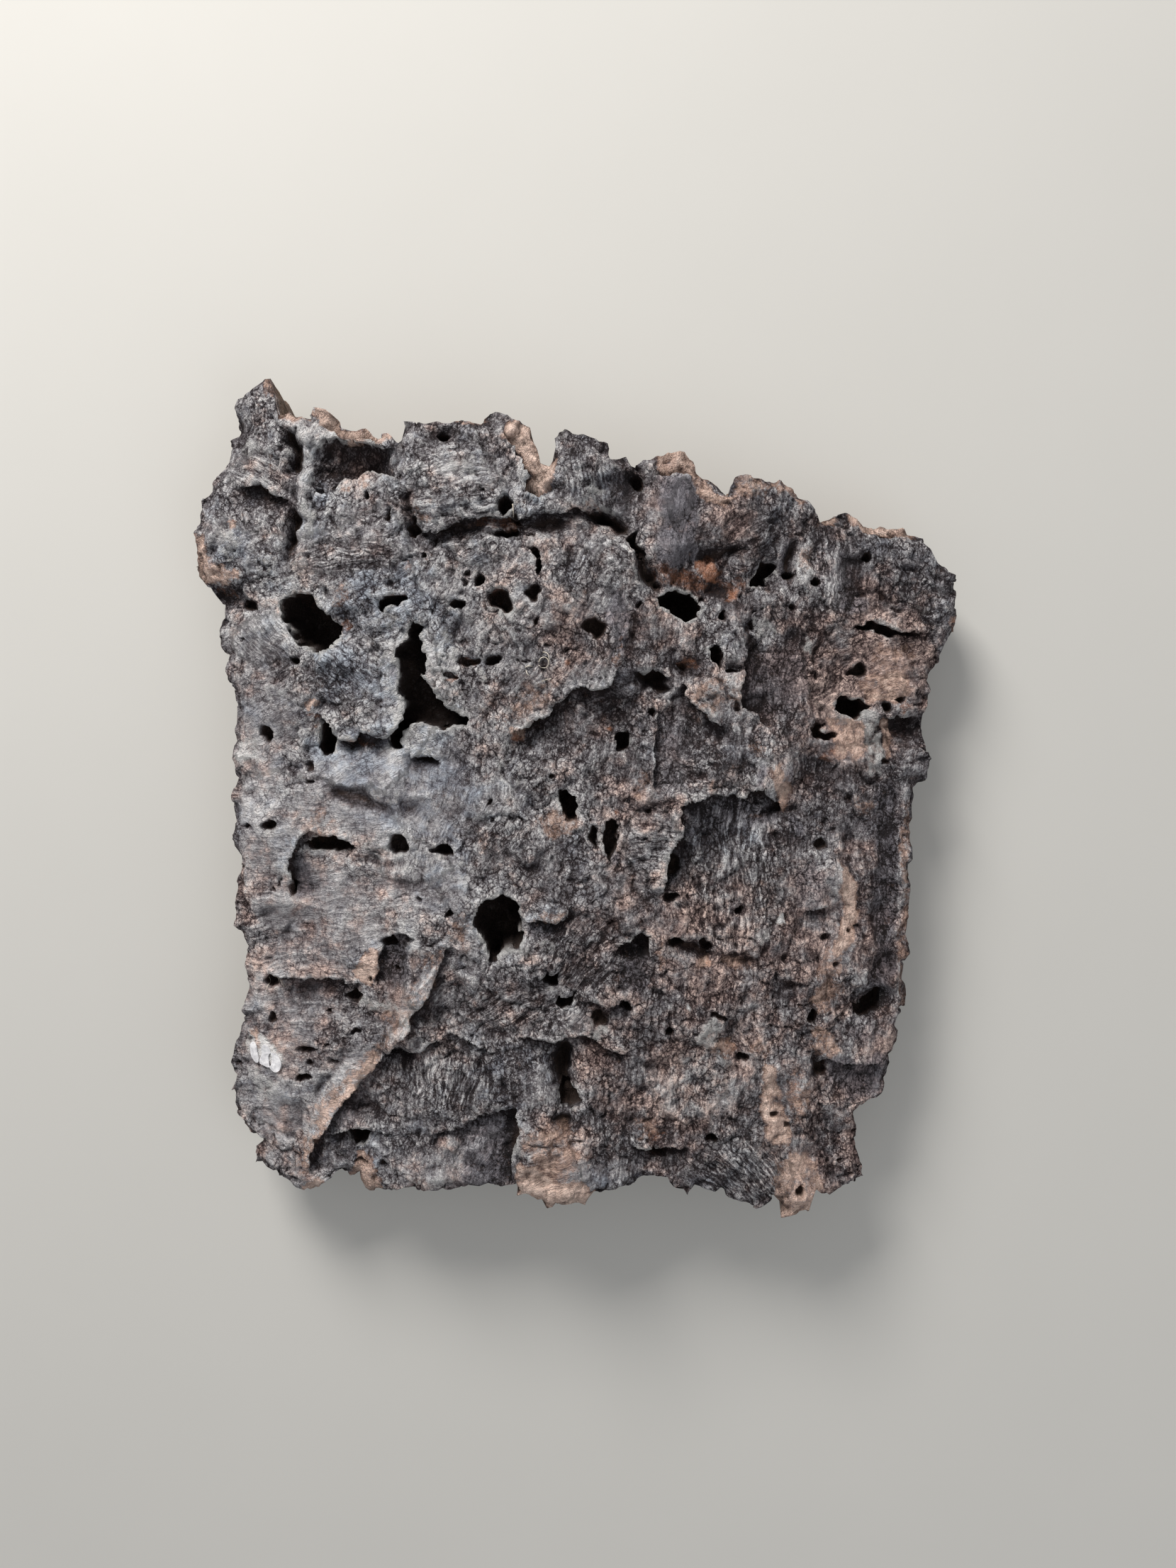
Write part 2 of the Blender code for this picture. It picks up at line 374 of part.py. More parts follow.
def smoothed(values, width):
    # slow part of an edge, with its two ends kept
    count = len(values)
    steps = np.arange(-width, width + 1)
    weights = np.cos(steps / (width + 1) * np.pi / 2) ** 2
    line = np.linspace(values[0], values[-1], count)
    padded = np.concatenate([-(values - line)[width:0:-1], values - line, -(values - line)[-2:-width - 2:-1]])
    return line + np.convolve(padded, weights / weights.sum(), "valid")


def nearEdge(share, span):
    # 1 on the edge where share is 0, fading out inwards
    return np.exp(-share * span / edgeReach)


def slabPlan(u, v):
    # a sheet stretched between the four hand-read edges; the jags fade out inwards
    samples = 801
    t = np.linspace(0, 1, samples)
    corners = {"bl": bottomRim[0], "br": bottomRim[-1], "tl": topRim[0], "tr": topRim[-1]}
    sides = {}
    for name, points, key, start, end in (("bottom", bottomRim, 0, "bl", "br"), ("top", topRim, 0, "tl", "tr"),
                                          ("left", leftRim, 1, "bl", "tl"), ("right", rightRim, 1, "br", "tr")):
        steady, moving = rimCurve(points, key)
        run = corners[start][key] + (corners[end][key] - corners[start][key]) * t
        value = np.interp(run, steady, moving)
        slow = smoothed(value, 60)
        sides[name] = (run, slow, value - slow)

    def edge(name, share, key):
        run, slow, jag = sides[name]
        steady = np.interp(share, t, run)
        slowValue = np.interp(share, t, slow)
        jagValue = np.interp(share, t, jag)
        pair = (steady, slowValue) if key == 0 else (slowValue, steady)
        return pair, jagValue

    (bx, by), bottomJag = edge("bottom", u, 0)
    (tx, ty), topJag = edge("top", u, 0)
    (lx, ly), leftJag = edge("left", v, 1)
    (rx, ry), rightJag = edge("right", v, 1)
    px = (1 - v) * bx + v * tx + (1 - u) * lx + u * rx
    py = (1 - v) * by + v * ty + (1 - u) * ly + u * ry
    for name, wu, wv in (("bl", 1 - u, 1 - v), ("br", u, 1 - v), ("tl", 1 - u, v), ("tr", u, v)):
        px = px - corners[name][0] * wu * wv
        py = py - corners[name][1] * wu * wv
    px = px + leftJag * nearEdge(u, slabAcross) + rightJag * nearEdge(1 - u, slabAcross)
    py = py + bottomJag * nearEdge(v, slabAlong) + topJag * nearEdge(1 - v, slabAlong)
    return px, py


def slabShape(u, v, w):
    # u across, v along, w from 0 on the inner side to 1 on the outer bark
    x, y = slabPlan(u, v)
    rimDistance = np.minimum(np.minimum(u, 1 - u) * slabAcross, np.minimum(v, 1 - v) * slabAlong)
    outer = outerBark(x, y) - 3.5 * (1 - ramp(rimDistance, 0, 5))
    innerX = x * (1 - edgeInset[0] * (nearEdge(u, slabAcross) + nearEdge(1 - u, slabAcross)))
    innerY = y * (1 - edgeInset[1] * (nearEdge(v, slabAlong) + nearEdge(1 - v, slabAlong)))
    inner = innerSide(innerX, innerY)
    outer = np.maximum(outer, np.maximum(inner, innerSide(x, y)) + leastCork)
    # the broken edge steps in and out between its rows
    step = layeredNoise(x + 40 * w, y - 30 * w, 9, 61, 2) * np.sin(np.pi * w)
    share = np.clip(w ** 0.7 + 0.4 * step, 0, 1)
    return (innerX + (x - innerX) * share, innerY + (y - innerY) * share, inner + (outer - inner) * w)


def blockMesh(name):
    # a flat grid pulled up into a block, whose side rows become the broken edge
    across, along, down = cells
    block = bmesh.new()
    bmesh.ops.create_grid(block, x_segments=across, y_segments=along, size=0.5)
    pulled = bmesh.ops.extrude_face_region(block, geom=block.faces[:])
    bmesh.ops.translate(block, vec=(0, 0, 1), verts=[g for g in pulled["geom"] if isinstance(g, bmesh.types.BMVert)])
    uprights = [e for e in block.edges if abs(e.verts[0].co.z - e.verts[1].co.z) > 0.5]
    bmesh.ops.subdivide_edges(block, edges=uprights, cuts=down - 1, use_grid_fill=False)
    bmesh.ops.recalc_face_normals(block, faces=block.faces[:])
    mesh = bpy.data.meshes.new(name)
    block.to_mesh(mesh)
    block.free()
    return mesh


for old in list(bpy.data.objects):
    bpy.data.objects.remove(old, do_unlink=True)

collection = bpy.data.collections.new("Cork bark slab")
bpy.context.scene.collection.children.link(collection)

fineMesh = blockMesh("slab_fine")
coords = np.empty(len(fineMesh.vertices) * 3)
fineMesh.vertices.foreach_get("co", coords)
coords = coords.reshape(-1, 3)
px, py, pz = slabShape(coords[:, 0] + 0.5, coords[:, 1] + 0.5, coords[:, 2])
placed = np.stack([px + centreShift[0], py + centreShift[1], pz], 1) * millimetre
fineMesh.vertices.foreach_set("co", placed.ravel())
fineMesh.update()

fine = bpy.data.objects.new("slab_fine", fineMesh)
collection.objects.link(fine)
thin = fine.modifiers.new("Thin out", "DECIMATE")
thin.ratio = trianglesKept / (2 * len(fineMesh.polygons))
thin.use_collapse_triangulate = True
bpy.context.view_layer.update()
slabMesh = bpy.data.meshes.new_from_object(fine.evaluated_get(bpy.context.evaluated_depsgraph_get()))
bpy.data.objects.remove(fine, do_unlink=True)
slabMesh.name = slabName

# the rest spots are made exactly flat again, and nothing is left below them
coords = np.empty(len(slabMesh.vertices) * 3)
slabMesh.vertices.foreach_get("co", coords)
coords = coords.reshape(-1, 3)
coords[:, 2] = np.where(coords[:, 2] < 0.25 * millimetre, 0, coords[:, 2])
slabMesh.vertices.foreach_set("co", coords.ravel())
slabMesh.update()

slab = bpy.data.objects.new(slabName, slabMesh)
collection.objects.link(slab)

bark = bpy.data.materials.new("weathered_cork")
bark.use_nodes = True
shader = bark.node_tree.nodes["Principled BSDF"]
shader.inputs["Base Color"].default_value = (0.17, 0.145, 0.125, 1)
shader.inputs["Roughness"].default_value = 0.93
shader.inputs["Metallic"].default_value = 0.0
slabMesh.materials.clear()
slabMesh.materials.append(bark)
for face in slabMesh.polygons:
    face.use_smooth = False
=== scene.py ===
import math
import bpy
import numpy as np
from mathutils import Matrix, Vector, noise


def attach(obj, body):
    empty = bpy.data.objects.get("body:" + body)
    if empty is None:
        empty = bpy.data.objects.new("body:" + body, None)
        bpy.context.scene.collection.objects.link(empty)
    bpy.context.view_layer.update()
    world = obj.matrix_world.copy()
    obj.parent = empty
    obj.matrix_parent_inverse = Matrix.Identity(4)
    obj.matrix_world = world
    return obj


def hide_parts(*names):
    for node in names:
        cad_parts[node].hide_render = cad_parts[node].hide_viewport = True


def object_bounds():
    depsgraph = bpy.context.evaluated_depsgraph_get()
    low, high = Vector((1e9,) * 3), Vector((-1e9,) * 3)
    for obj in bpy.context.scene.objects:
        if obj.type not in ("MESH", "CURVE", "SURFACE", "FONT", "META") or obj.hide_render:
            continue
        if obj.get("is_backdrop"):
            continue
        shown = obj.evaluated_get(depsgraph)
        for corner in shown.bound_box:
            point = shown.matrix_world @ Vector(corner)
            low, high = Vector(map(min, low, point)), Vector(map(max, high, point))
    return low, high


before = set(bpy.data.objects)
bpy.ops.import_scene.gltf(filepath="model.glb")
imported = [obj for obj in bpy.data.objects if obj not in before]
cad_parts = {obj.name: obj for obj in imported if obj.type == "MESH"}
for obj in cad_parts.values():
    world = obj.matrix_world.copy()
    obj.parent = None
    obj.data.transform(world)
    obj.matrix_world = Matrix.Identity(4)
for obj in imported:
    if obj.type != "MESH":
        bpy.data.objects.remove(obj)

cadLow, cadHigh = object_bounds()
slabNode = "cork_bark_slab"
mm = 0.001
print("frame loaded")

# slab settings, millimetres
slab = {
    "crown": 46.0, "crownDrop": 18.0, "halfWidth": 140.0,  # outer bark
    "belly": 17.0, "bellyDrop": 15.6, "leastCork": 4.5,  # inner side
    "inset": (0.045, 0.035), "edgeReach": 12.0, "shift": (0.0, 4.5),
    "sheetWide": 265, "sheetLong": 290,  # mean reach of the sheet
    "across": 336, "along": 368, "rows": 7,  # cells of the fine block
    "faces": 193000, "quickFaces": 120000, "soft": 0.45,
    "bump": 0.85, "bumpDepth": 0.0018, "shine": 0.25,  # material
}

# Outline read off the bark, each side in order of growing X or Y.
topRim = [
    (-127, 149), (-122, 151.5), (-117, 154), (-114, 155.5), (-111.4, 150), (-111.2, 144), (-110.6, 142),
    (-107, 144.5), (-104, 142.5), (-99, 142), (-96, 145), (-92, 144), (-90, 140), (-86.5, 138),
    (-82.5, 136.5), (-75.5, 136), (-73, 134), (-70, 135.5), (-67.5, 133), (-65.3, 132), (-64, 138),
    (-59, 137.5), (-55.5, 139), (-46.5, 139), (-40, 140), (-36, 138.5), (-32, 140), (-25.5, 140.5),
    (-21.5, 139), (-17.5, 136), (-15.6, 132), (-15.2, 126), (-11.5, 123), (-9, 126), (-8.2, 130.5),
    (-6.5, 134), (-2, 134), (2, 133), (6, 130.5), (10, 129), (12, 126), (15, 124.5), (17.7, 126),
    (20.5, 123), (23, 126), (27, 125.7), (30.5, 126), (35, 128.4), (38, 127.3), (41.5, 125), (43.2, 121),
    (46.5, 117.5), (50.4, 114), (54, 111.4), (55.7, 115.5), (59, 118), (63.7, 119.7), (69, 117.5),
    (74, 118), (78.4, 115), (82, 112.5), (85, 110), (85.8, 105), (89, 104.3), (94, 105), (100.3, 107),
    (103.4, 104), (107, 102.4), (114, 102.4), (120.6, 101.3), (125, 100), (130, 97.6),
]
bottomRim = [
    (-128, -148), (-124.5, -147), (-120.5, -150), (-118, -151), (-113, -154.5), (-108, -157), (-104.5, -157),
    (-102, -155.5), (-100.5, -153), (-98, -151), (-94, -149), (-91, -148.5), (-88.5, -149.5), (-85, -149),
    (-83, -152.5), (-81.5, -154.5), (-78.5, -154.5), (-76, -153), (-70.5, -153), (-65.5, -152),
    (-62, -153.5), (-54.5, -152), (-47, -152), (-40, -150.5), (-35, -149), (-31, -150), (-25, -149),
    (-23.4, -154), (-20, -154.5), (-17, -156), (-11.5, -157), (-9, -155), (-2, -156), (4, -156),
    (6, -153), (10, -152), (14, -150), (20, -150), (25, -149), (29, -147), (35, -147.5), (38, -151),
    (43, -154.5), (45, -151), (48, -151), (52, -153), (57, -155.5), (63, -158.5), (70, -160), (73.5, -158.5),
    (75.5, -155), (77.3, -158.5), (80, -163.5), (84, -164.5), (88, -163.5), (89.6, -161), (91, -155),
    (95, -156), (98, -156.5), (101, -154.5), (104, -154), (109, -151.5),
]
leftRim = [
    (-128, -148), (-127, -144), (-125, -140), (-123.5, -138), (-125, -136), (-129, -134), (-133, -130),
    (-135.5, -127), (-136, -120), (-135, -110), (-135, -105), (-133, -100), (-133.5, -95), (-131, -90),
    (-129.5, -85), (-129.5, -68), (-130.7, -60), (-131, -55), (-133.5, -51), (-134, -45), (-132, -38),
    (-132, -32), (-131, -25), (-134, -21), (-135, -18), (-133, -13), (-133, -3), (-132.5, 0), (-132, 10),
    (-130.6, 20), (-131, 30), (-130, 37), (-130.5, 41), (-133, 44), (-133.5, 47), (-133, 55), (-136, 60),
    (-135, 66), (-133, 70), (-134, 73), (-139, 77), (-142, 81), (-144, 85), (-145, 90), (-144, 97),
    (-144, 103), (-142, 108), (-140, 113), (-136, 119), (-133, 124), (-129, 130), (-130.5, 133.5),
    (-127, 137), (-126, 142), (-127, 149),
]
rightRim = [
    (109, -151.5), (112, -149), (111.5, -146), (109.5, -142), (109, -135), (108, -128), (108.7, -121),
    (112, -118.5), (118, -116.5), (120, -112), (121, -106), (123, -98), (123.5, -91), (125.5, -83),
    (125.5, -74), (126.5, -60), (126.5, -50), (127, -40), (127, -20), (127.5, 0), (128.5, 5), (131, 8.5),
    (133.5, 12), (131, 18), (130.5, 23), (131, 30), (133, 40), (135.5, 48), (138, 52.4), (139.3, 56),
    (141.5, 60.4), (144.6, 64.7), (145, 68), (141, 73), (142, 76.6), (141, 80), (143.7, 83), (139, 88),
    (135, 91), (130.8, 95), (130, 97.6),
]

# Lips: the bark left of the walking direction stands high and the bark right of it drops away.
# points, drop at the lip, how far the drop runs out.
lips = [
    ([(-27, 23), (-22, 25.5), (-18, 28), (-13, 33), (-8, 37), (-4, 38.5), (4, 41), (8, 40.5), (11, 43),
      (14, 47), (17, 50)], 7.0, 15.0),
    ([(19, 47.5), (25, 46), (28, 48), (32, 46), (35, 44.5)], 6.0, 6.0),
    ([(36, 44), (40, 42), (41, 37), (45, 33), (50, 28), (56, 27.5)], 5.0, 8.0),
    ([(32, -37), (33, -28), (34, -22), (38.5, -14), (38.5, -4), (40, -1.5), (45, -0.5), (50, 1), (60, 1.5),
      (63, 4), (68, 4), (72, 1), (75, -2), (77, -7)], 8.0, 18.0),
    ([(-99, 31), (-94, 29), (-90, 25), (-84, 21.5), (-80, 25), (-76, 23.5), (-72, 23), (-67, 28),
      (-65, 33), (-65.5, 37)], 8.0, 5.0),
    ([(-127, 117), (-118, 117.5), (-112, 113), (-105, 111)], 6.0, 7.0),
    ([(-62, 117), (-70, 120), (-78, 121), (-85, 118), (-90, 114), (-98, 114)], 6.0, 8.0),
    ([(-110, -40), (-110, -24), (-106, -19), (-102, -14.5), (-97, -14), (-92, -15), (-88, -17),
      (-83, -21)], 6.0, 9.0),
    ([(-122, -69), (-115, -69.5), (-105, -71), (-100, -69.5), (-95, -69), (-91, -71), (-89, -73.5),
      (-82, -73.5)], 4.5, 9.0),
    ([(-106, -150), (-103, -135), (-100, -133), (-97, -126), (-90, -119), (-82, -109), (-77, -102),
      (-66, -90), (-62, -82), (-57, -75), (-52, -62), (-49, -54)], 5.5, 22.0),
    ([(-100, -133), (-89, -130), (-80, -129.5), (-72, -131)], 5.0, 7.0),
    ([(-78, -97), (-65, -98.5), (-60, -98), (-55, -92.5), (-50, -90.5), (-45, -91), (-37, -96),
      (-31, -97)], 4.0, 7.0),
    ([(-24, -91), (-10, -92.5), (-3, -91), (5, -91), (8, -93), (15, -96), (20, -97)], 5.0, 10.0),
    ([(-60, -130), (-50, -128.5), (-46, -127), (-38, -122.5), (-30, -121.5), (-22, -118.5)], 3.6, 6.0),
    ([(-22, -117), (-22.5, -125), (-24, -130), (-24, -140), (-23.5, -155)], 7.0, 8.0),
    ([(-22, -43), (-20, -45.5), (-14, -45.5), (-8, -46), (-4, -44), (-3, -38)], 5.0, 7.0),
    ([(-2, -75), (2, -77), (10, -79.5), (16, -76.5), (21, -77)], 5.0, 7.0),
    ([(13, -58), (18, -53), (22, -50.5), (27, -51), (28, -56), (29, -63)], 7.0, 10.0),
    ([(29, 1), (29.5, 10), (28, 20), (29, 30), (31, 37)], 3.5, 10.0),
    ([(71, 25), (66, 30), (61, 35), (61, 50), (62, 60)], 4.5, 10.0),
    ([(114, 31), (119, 31.5), (124, 32), (130, 30)], 6.0, 7.0),
    ([(84, -43.5), (89, -43), (97, -42)], 4.0, 5.0),
    ([(-64, 18), (-62, 15), (-58, 14.5), (-54, 16), (-50, 12)], 4.0, 6.0),
    ([(-99, 131), (-92, 132), (-86, 131), (-80, 130), (-73, 129), (-66, 128)], 6.0, 9.0),
    ([(-62, 98), (-50, 99), (-40, 104), (-30, 104), (-10, 104), (0, 106), (7, 105)], 6.0, 7.0),
    ([(100, 65), (109, 66.5), (113, 65), (122, 63), (131, 60.5)], 4.0, 6.0),
    ([(18, -133.5), (30, -134.5), (42, -134)], 6.0, 9.0),
    ([(-75, -53), (-70, -51.5), (-65, -51.5), (-60, -54)], 5.0, 8.0),
    ([(-76, -74), (-77, -68), (-75.5, -60), (-74, -53)], 4.0, 9.0),
    ([(92, -101), (100, -103), (118, -105)], 4.0, 8.0),
    ([(-69, 134), (-75, 132), (-82, 131), (-89, 133), (-95, 139)], 7.0, 9.0),
    ([(-9, 112), (-14, 111), (-19, 113), (-17, 118), (-20, 124), (-26, 131), (-26, 137)], 7.0, 12.0),
    ([(46, 118), (38, 119.5), (30, 120), (26, 120)], 5.0, 8.0),
    ([(128, 98), (112, 98.5), (103, 99)], 5.0, 6.0),
]

# Long swellings and furrows: points, half width, height (negative cuts in).
runs = [
    ([(-107, 137), (-101, 131), (-99, 122), (-101, 113), (-101, 104), (-104, 95), (-107, 86)], 2.6, 4.0),
    ([(-109, 137), (-104, 130), (-104, 120), (-105, 111), (-104, 103), (-105, 96), (-109, 87)], 2.2, -7.0),
    ([(0, 106), (10, 103.5), (17, 101), (20, 98), (22, 90), (24, 84), (30, 77)], 2.4, -8.0),
    ([(20, 47), (25, 45), (29, 45), (32, 42), (29, 39.5)], 2.2, -6.0),
    ([(33, -53), (38, -56), (44, -58), (50, -61), (56, -63), (67, -64)], 2.0, -5.0),
    ([(29, -50), (30, -57), (34, -62)], 2.4, 3.0),
    ([(-61, 116), (-62, 106), (-60, 96)], 1.6, -3.5),
    ([(-50, 100), (-36, 101), (-20, 100), (-6, 102)], 4.0, -4.0),
    ([(-95, 5), (-85, 1), (-78, -2), (-70, -5), (-62, -3)], 3.6, -4.0),
    ([(-82, -22), (-74, -24.5), (-64, -25)], 2.6, -2.5),
    ([(-77, -32), (-66, -33), (-55, -32)], 2.6, -2.5),
    ([(-92, 22), (-84, 20), (-76, 21), (-68, 20)], 2.6, -4.0),
    ([(15, -2), (22, -3.5), (27, -4), (31, -1.5), (39, -1)], 1.6, -3.0),
    ([(-33, -18), (-27, -22), (-21, -26), (-12, -27)], 2.2, -3.0),
    ([(67, -12), (75, -16), (82, -17), (90, -18)], 2.6, -3.0),
    ([(-6, -92), (-7, -104), (-5, -114), (-6, -126)], 4.2, -8.0),
    ([(-12, -94), (-13, -108), (-12, -124)], 3.4, 2.5),
    ([(115, 5), (117, -30), (116, -60), (113, -88), (112, -104)], 6.0, -2.0),
    ([(123, 0), (123.5, -30), (122.5, -60), (120, -100)], 2.6, 2.0),
    ([(70, -102), (74, -112), (73, -120), (75, -133)], 3.0, 3.0),
    ([(-104, -135), (-106, -142), (-106.5, -149)], 2.0, 3.5),
    ([(-98, -132), (-92, -122), (-84, -112), (-78, -104), (-69, -92), (-62, -82), (-56, -70)], 6.0, 2.6),
    ([(-104, -121), (-98, -112), (-91, -101), (-86, -94)], 1.6, -3.2),
    ([(91, -96), (90.5, -103), (92, -111)], 1.8, -4.0),
    ([(83, 98), (84, 86), (82, 74)], 3.0, 3.0),
    ([(78.5, 98), (78, 86), (77, 76)], 2.6, -4.5),
    ([(87.5, 98), (88, 84)], 2.0, -3.0),
    ([(102, 92), (103, 80), (101, 72)], 3.4, -3.0),
    ([(42, 90), (48, 91), (60, 92), (64, 90)], 2.4, -4.5),
    ([(46, 79), (54, 76), (62, 71)], 2.6, -3.5),
    ([(63, 70), (64, 60), (65, 50)], 2.0, -4.0),
    ([(90, 72), (86, 62), (84, 58)], 2.6, -3.0),
    ([(20, 72), (20, 60), (18, 50)], 1.8, -3.5),
    ([(-26, 107), (-34, 104), (-42, 101)], 2.2, -2.5),
    ([(50, 49.5), (61, 49)], 1.5, -4.0),
    ([(70, -71), (84, -71)], 1.8, -3.0),
    ([(-62, -100), (-70, -98), (-76, -98)], 1.8, -4.5),
    ([(94, -44), (99, -52), (98, -64)], 4.0, 2.0),
    ([(88, -104), (86, -120), (84, -140), (84, -160)], 5.0, 2.5),
    ([(-129, -90), (-122, -92), (-118, -90)], 2.0, -2.5),
    ([(-48, -127), (-44, -138), (-34, -146)], 3.0, -2.5),
]

# Broad swellings and hollows: centre, radii, turn in degrees, height.
humps = [
    (-82, 100, 20, 22, 0, 3.0), (-80, 44, 17, 20, 10, 4.0), (-42, 118, 20, 18, 0, 3.0),
    (-15, 76, 26, 24, 0, 2.0), (5, 118, 12, 14, 0, 2.5), (34, 104, 9, 20, 0, 2.0),
    (55, 100, 14, 14, 0, 2.0), (74, 13, 9, 13, 0, 5.0), (50, 38, 12, 10, 0, 3.0),
    (93, -28, 8, 13, 0, 3.0), (50, -88, 7, 9, 0, 3.0), (-8, -140, 16, 18, 0, 3.5),
    (-38, -136, 14, 16, 0, -1.5), (-92, -32, 17, 13, 0, -3.0), (-103, -80, 16, 9, 0, -3.0),
    (56, -28, 16, 26, 0, -4.5), (8, 22, 22, 20, 0, -2.5), (62, 30, 6, 8, 0, 1.0),
    (-118, -22, 12, 30, 0, 2.0), (-120, 95, 20, 16, 0, 2.0), (-58, -62, 12, 14, 0, 1.5),
    (60, -145, 18, 14, 0, 1.5), (103, 20, 9, 11, 0, 1.5), (118, 78, 18, 16, 0, 1.5),
    (-120, -105, 12, 14, 0, 2.0), (-84, 124, 14, 7, 0, -4.0), (43, 82, 10, 9, 0, -3.0),
    (70, 84, 6, 7, 0, -4.0), (41, 49.5, 6, 5, 0, -4.5), (124, 26, 6.5, 6, 0, -5.0),
    (104, -112, 14, 6, 0, -2.5), (-87, 66, 5, 5, 0, -4.0), (-70, -62, 6, 9, 0, -3.5),
    (-132, 76, 7, 4, -20, -7.0), (14, 58, 4, 14, 0, 1.5), (20, 118, 5, 6, 0, -5.0),
    (-108, 127, 3, 3, 0, 1.0), (-50, 134, 6, 3, 0, -4.0), (-12, 126, 3, 3, 0, -5.0),
    (-7, 113, 6, 3, 0, -2.5), (80, 60, 4, 4, 0, -3.0), (112, -80, 7, 5, 0, -5.0),
]

# Broken pits: outline, depth.
pits = [
    ([(-111, 74), (-110, 68), (-107.5, 62), (-104, 58.5), (-98, 55), (-94, 56.5), (-90, 60), (-89, 64.5),
      (-92, 67), (-96, 71), (-99, 75), (-104, 76.5)], 22.0),
    ([(-75, 71), (-74, 74.5), (-70, 76), (-62, 75.7), (-61, 73.5), (-66, 73), (-70, 72), (-72, 69.5)], 11.0),
    ([(-61.5, 67.5), (-57, 66), (-58, 60), (-57.5, 55), (-55, 52), (-55.5, 48.5), (-58.5, 46), (-55, 43),
      (-53, 38.5), (-50, 34.5), (-44, 31.5), (-40, 30), (-40, 28), (-47, 27.5), (-54, 26.5), (-58, 28),
      (-63, 27), (-66, 24), (-64.5, 20.5), (-67, 18.5), (-71, 20), (-69, 25), (-65.5, 30), (-65, 36),
      (-67.5, 41), (-66.5, 49), (-67, 56), (-63, 60)], 21.0),
    ([(29.5, 75), (29.5, 70.5), (33, 69), (36, 66.5), (39, 66), (43, 68), (44.5, 71), (44, 74.5), (40, 76.5),
      (34, 76.5)], 22.0),
    ([(-37, -40), (-35, -37.5), (-31, -36), (-28, -34.5), (-25, -36.5), (-22.5, -40), (-22, -45), (-22, -50),
      (-23, -56), (-26, -55), (-30, -58), (-31, -62), (-35, -61), (-34.5, -56), (-36, -52), (-38.5, -49),
      (-38, -44)], 21.0),
    ([(96, 33), (97.5, 36.5), (100.5, 38), (103, 37), (106, 37), (109, 34), (106.5, 32), (104, 29.5),
      (101, 30.5)], 15.0),
    ([(-6.5, 3.5), (-3, 3), (-0.5, 1), (0.3, -2), (-0.5, -8), (-6, -7.8), (-6.5, -3)], 13.0),
    ([(13.3, 26), (18.5, 25.5), (18.5, 18), (16.5, 17), (14, 18)], 10.0),
    ([(10, -10), (11.5, -7.5), (14, -10), (14.8, -14), (14, -21), (12, -24), (10, -19)], 8.0),
    ([(-10, -75), (-6, -75.5), (-0.8, -74.5), (-3, -78), (-6, -80.5), (-8.5, -79)], 10.0),
    ([(-14.5, -69.5), (-11, -66), (-7, -66.5), (-7, -70), (-10, -71)], 9.0),
    ([(-98, 18.5), (-96.5, 28.5), (-94, 29), (-91, 23), (-92.5, 18), (-96, 16)], 13.0),
    ([(-106, -19.5), (-102, -15), (-97, -14.5), (-92, -15.5), (-88, -17.5), (-85.5, -19.5), (-92, -20.5),
      (-99, -20)], 9.0),
    ([(-90, -130.5), (-80, -130), (-82.5, -136.5), (-86, -137)], 9.0),
    ([(-6.5, -109), (-3.5, -108.5), (0, -112), (0, -116), (-2.5, -118), (-7, -117.5)], 9.0),
    ([(-18, 93), (-15, 91.5), (-12.5, 86), (-13.3, 82), (-16, 85), (-16.5, 89)], 8.0),
    ([(19.3, 100.5), (22, 97), (23.4, 92), (23.6, 87.5), (20.8, 91), (19, 96)], 9.0),
    ([(64, 80.5), (65.5, 87), (68, 89.5), (72, 88.5), (73, 86), (70, 84), (70.5, 80.5)], 10.0),
    ([(103.5, 64.8), (109, 66.5), (113, 64.5), (122, 63), (129, 61), (120, 60.7), (112, 61.5),
      (108, 63)], 7.0),
    ([(105, -81), (109, -82), (112, -79), (115, -75.5), (117.5, -75), (116, -84), (110, -86),
      (106, -85)], 7.0),
    ([(-56, -20), (-50, -17.3), (-47, -18.5), (-46.3, -22), (-49, -23)], 9.0),
    ([(48, 55.5), (52, 57), (53.5, 52), (52, 47.5), (50, 50)], 9.0),
    ([(87.5, 24), (89, 28), (92, 28), (92, 25), (97, 24), (97.5, 22), (92, 22)], 7.0),
]

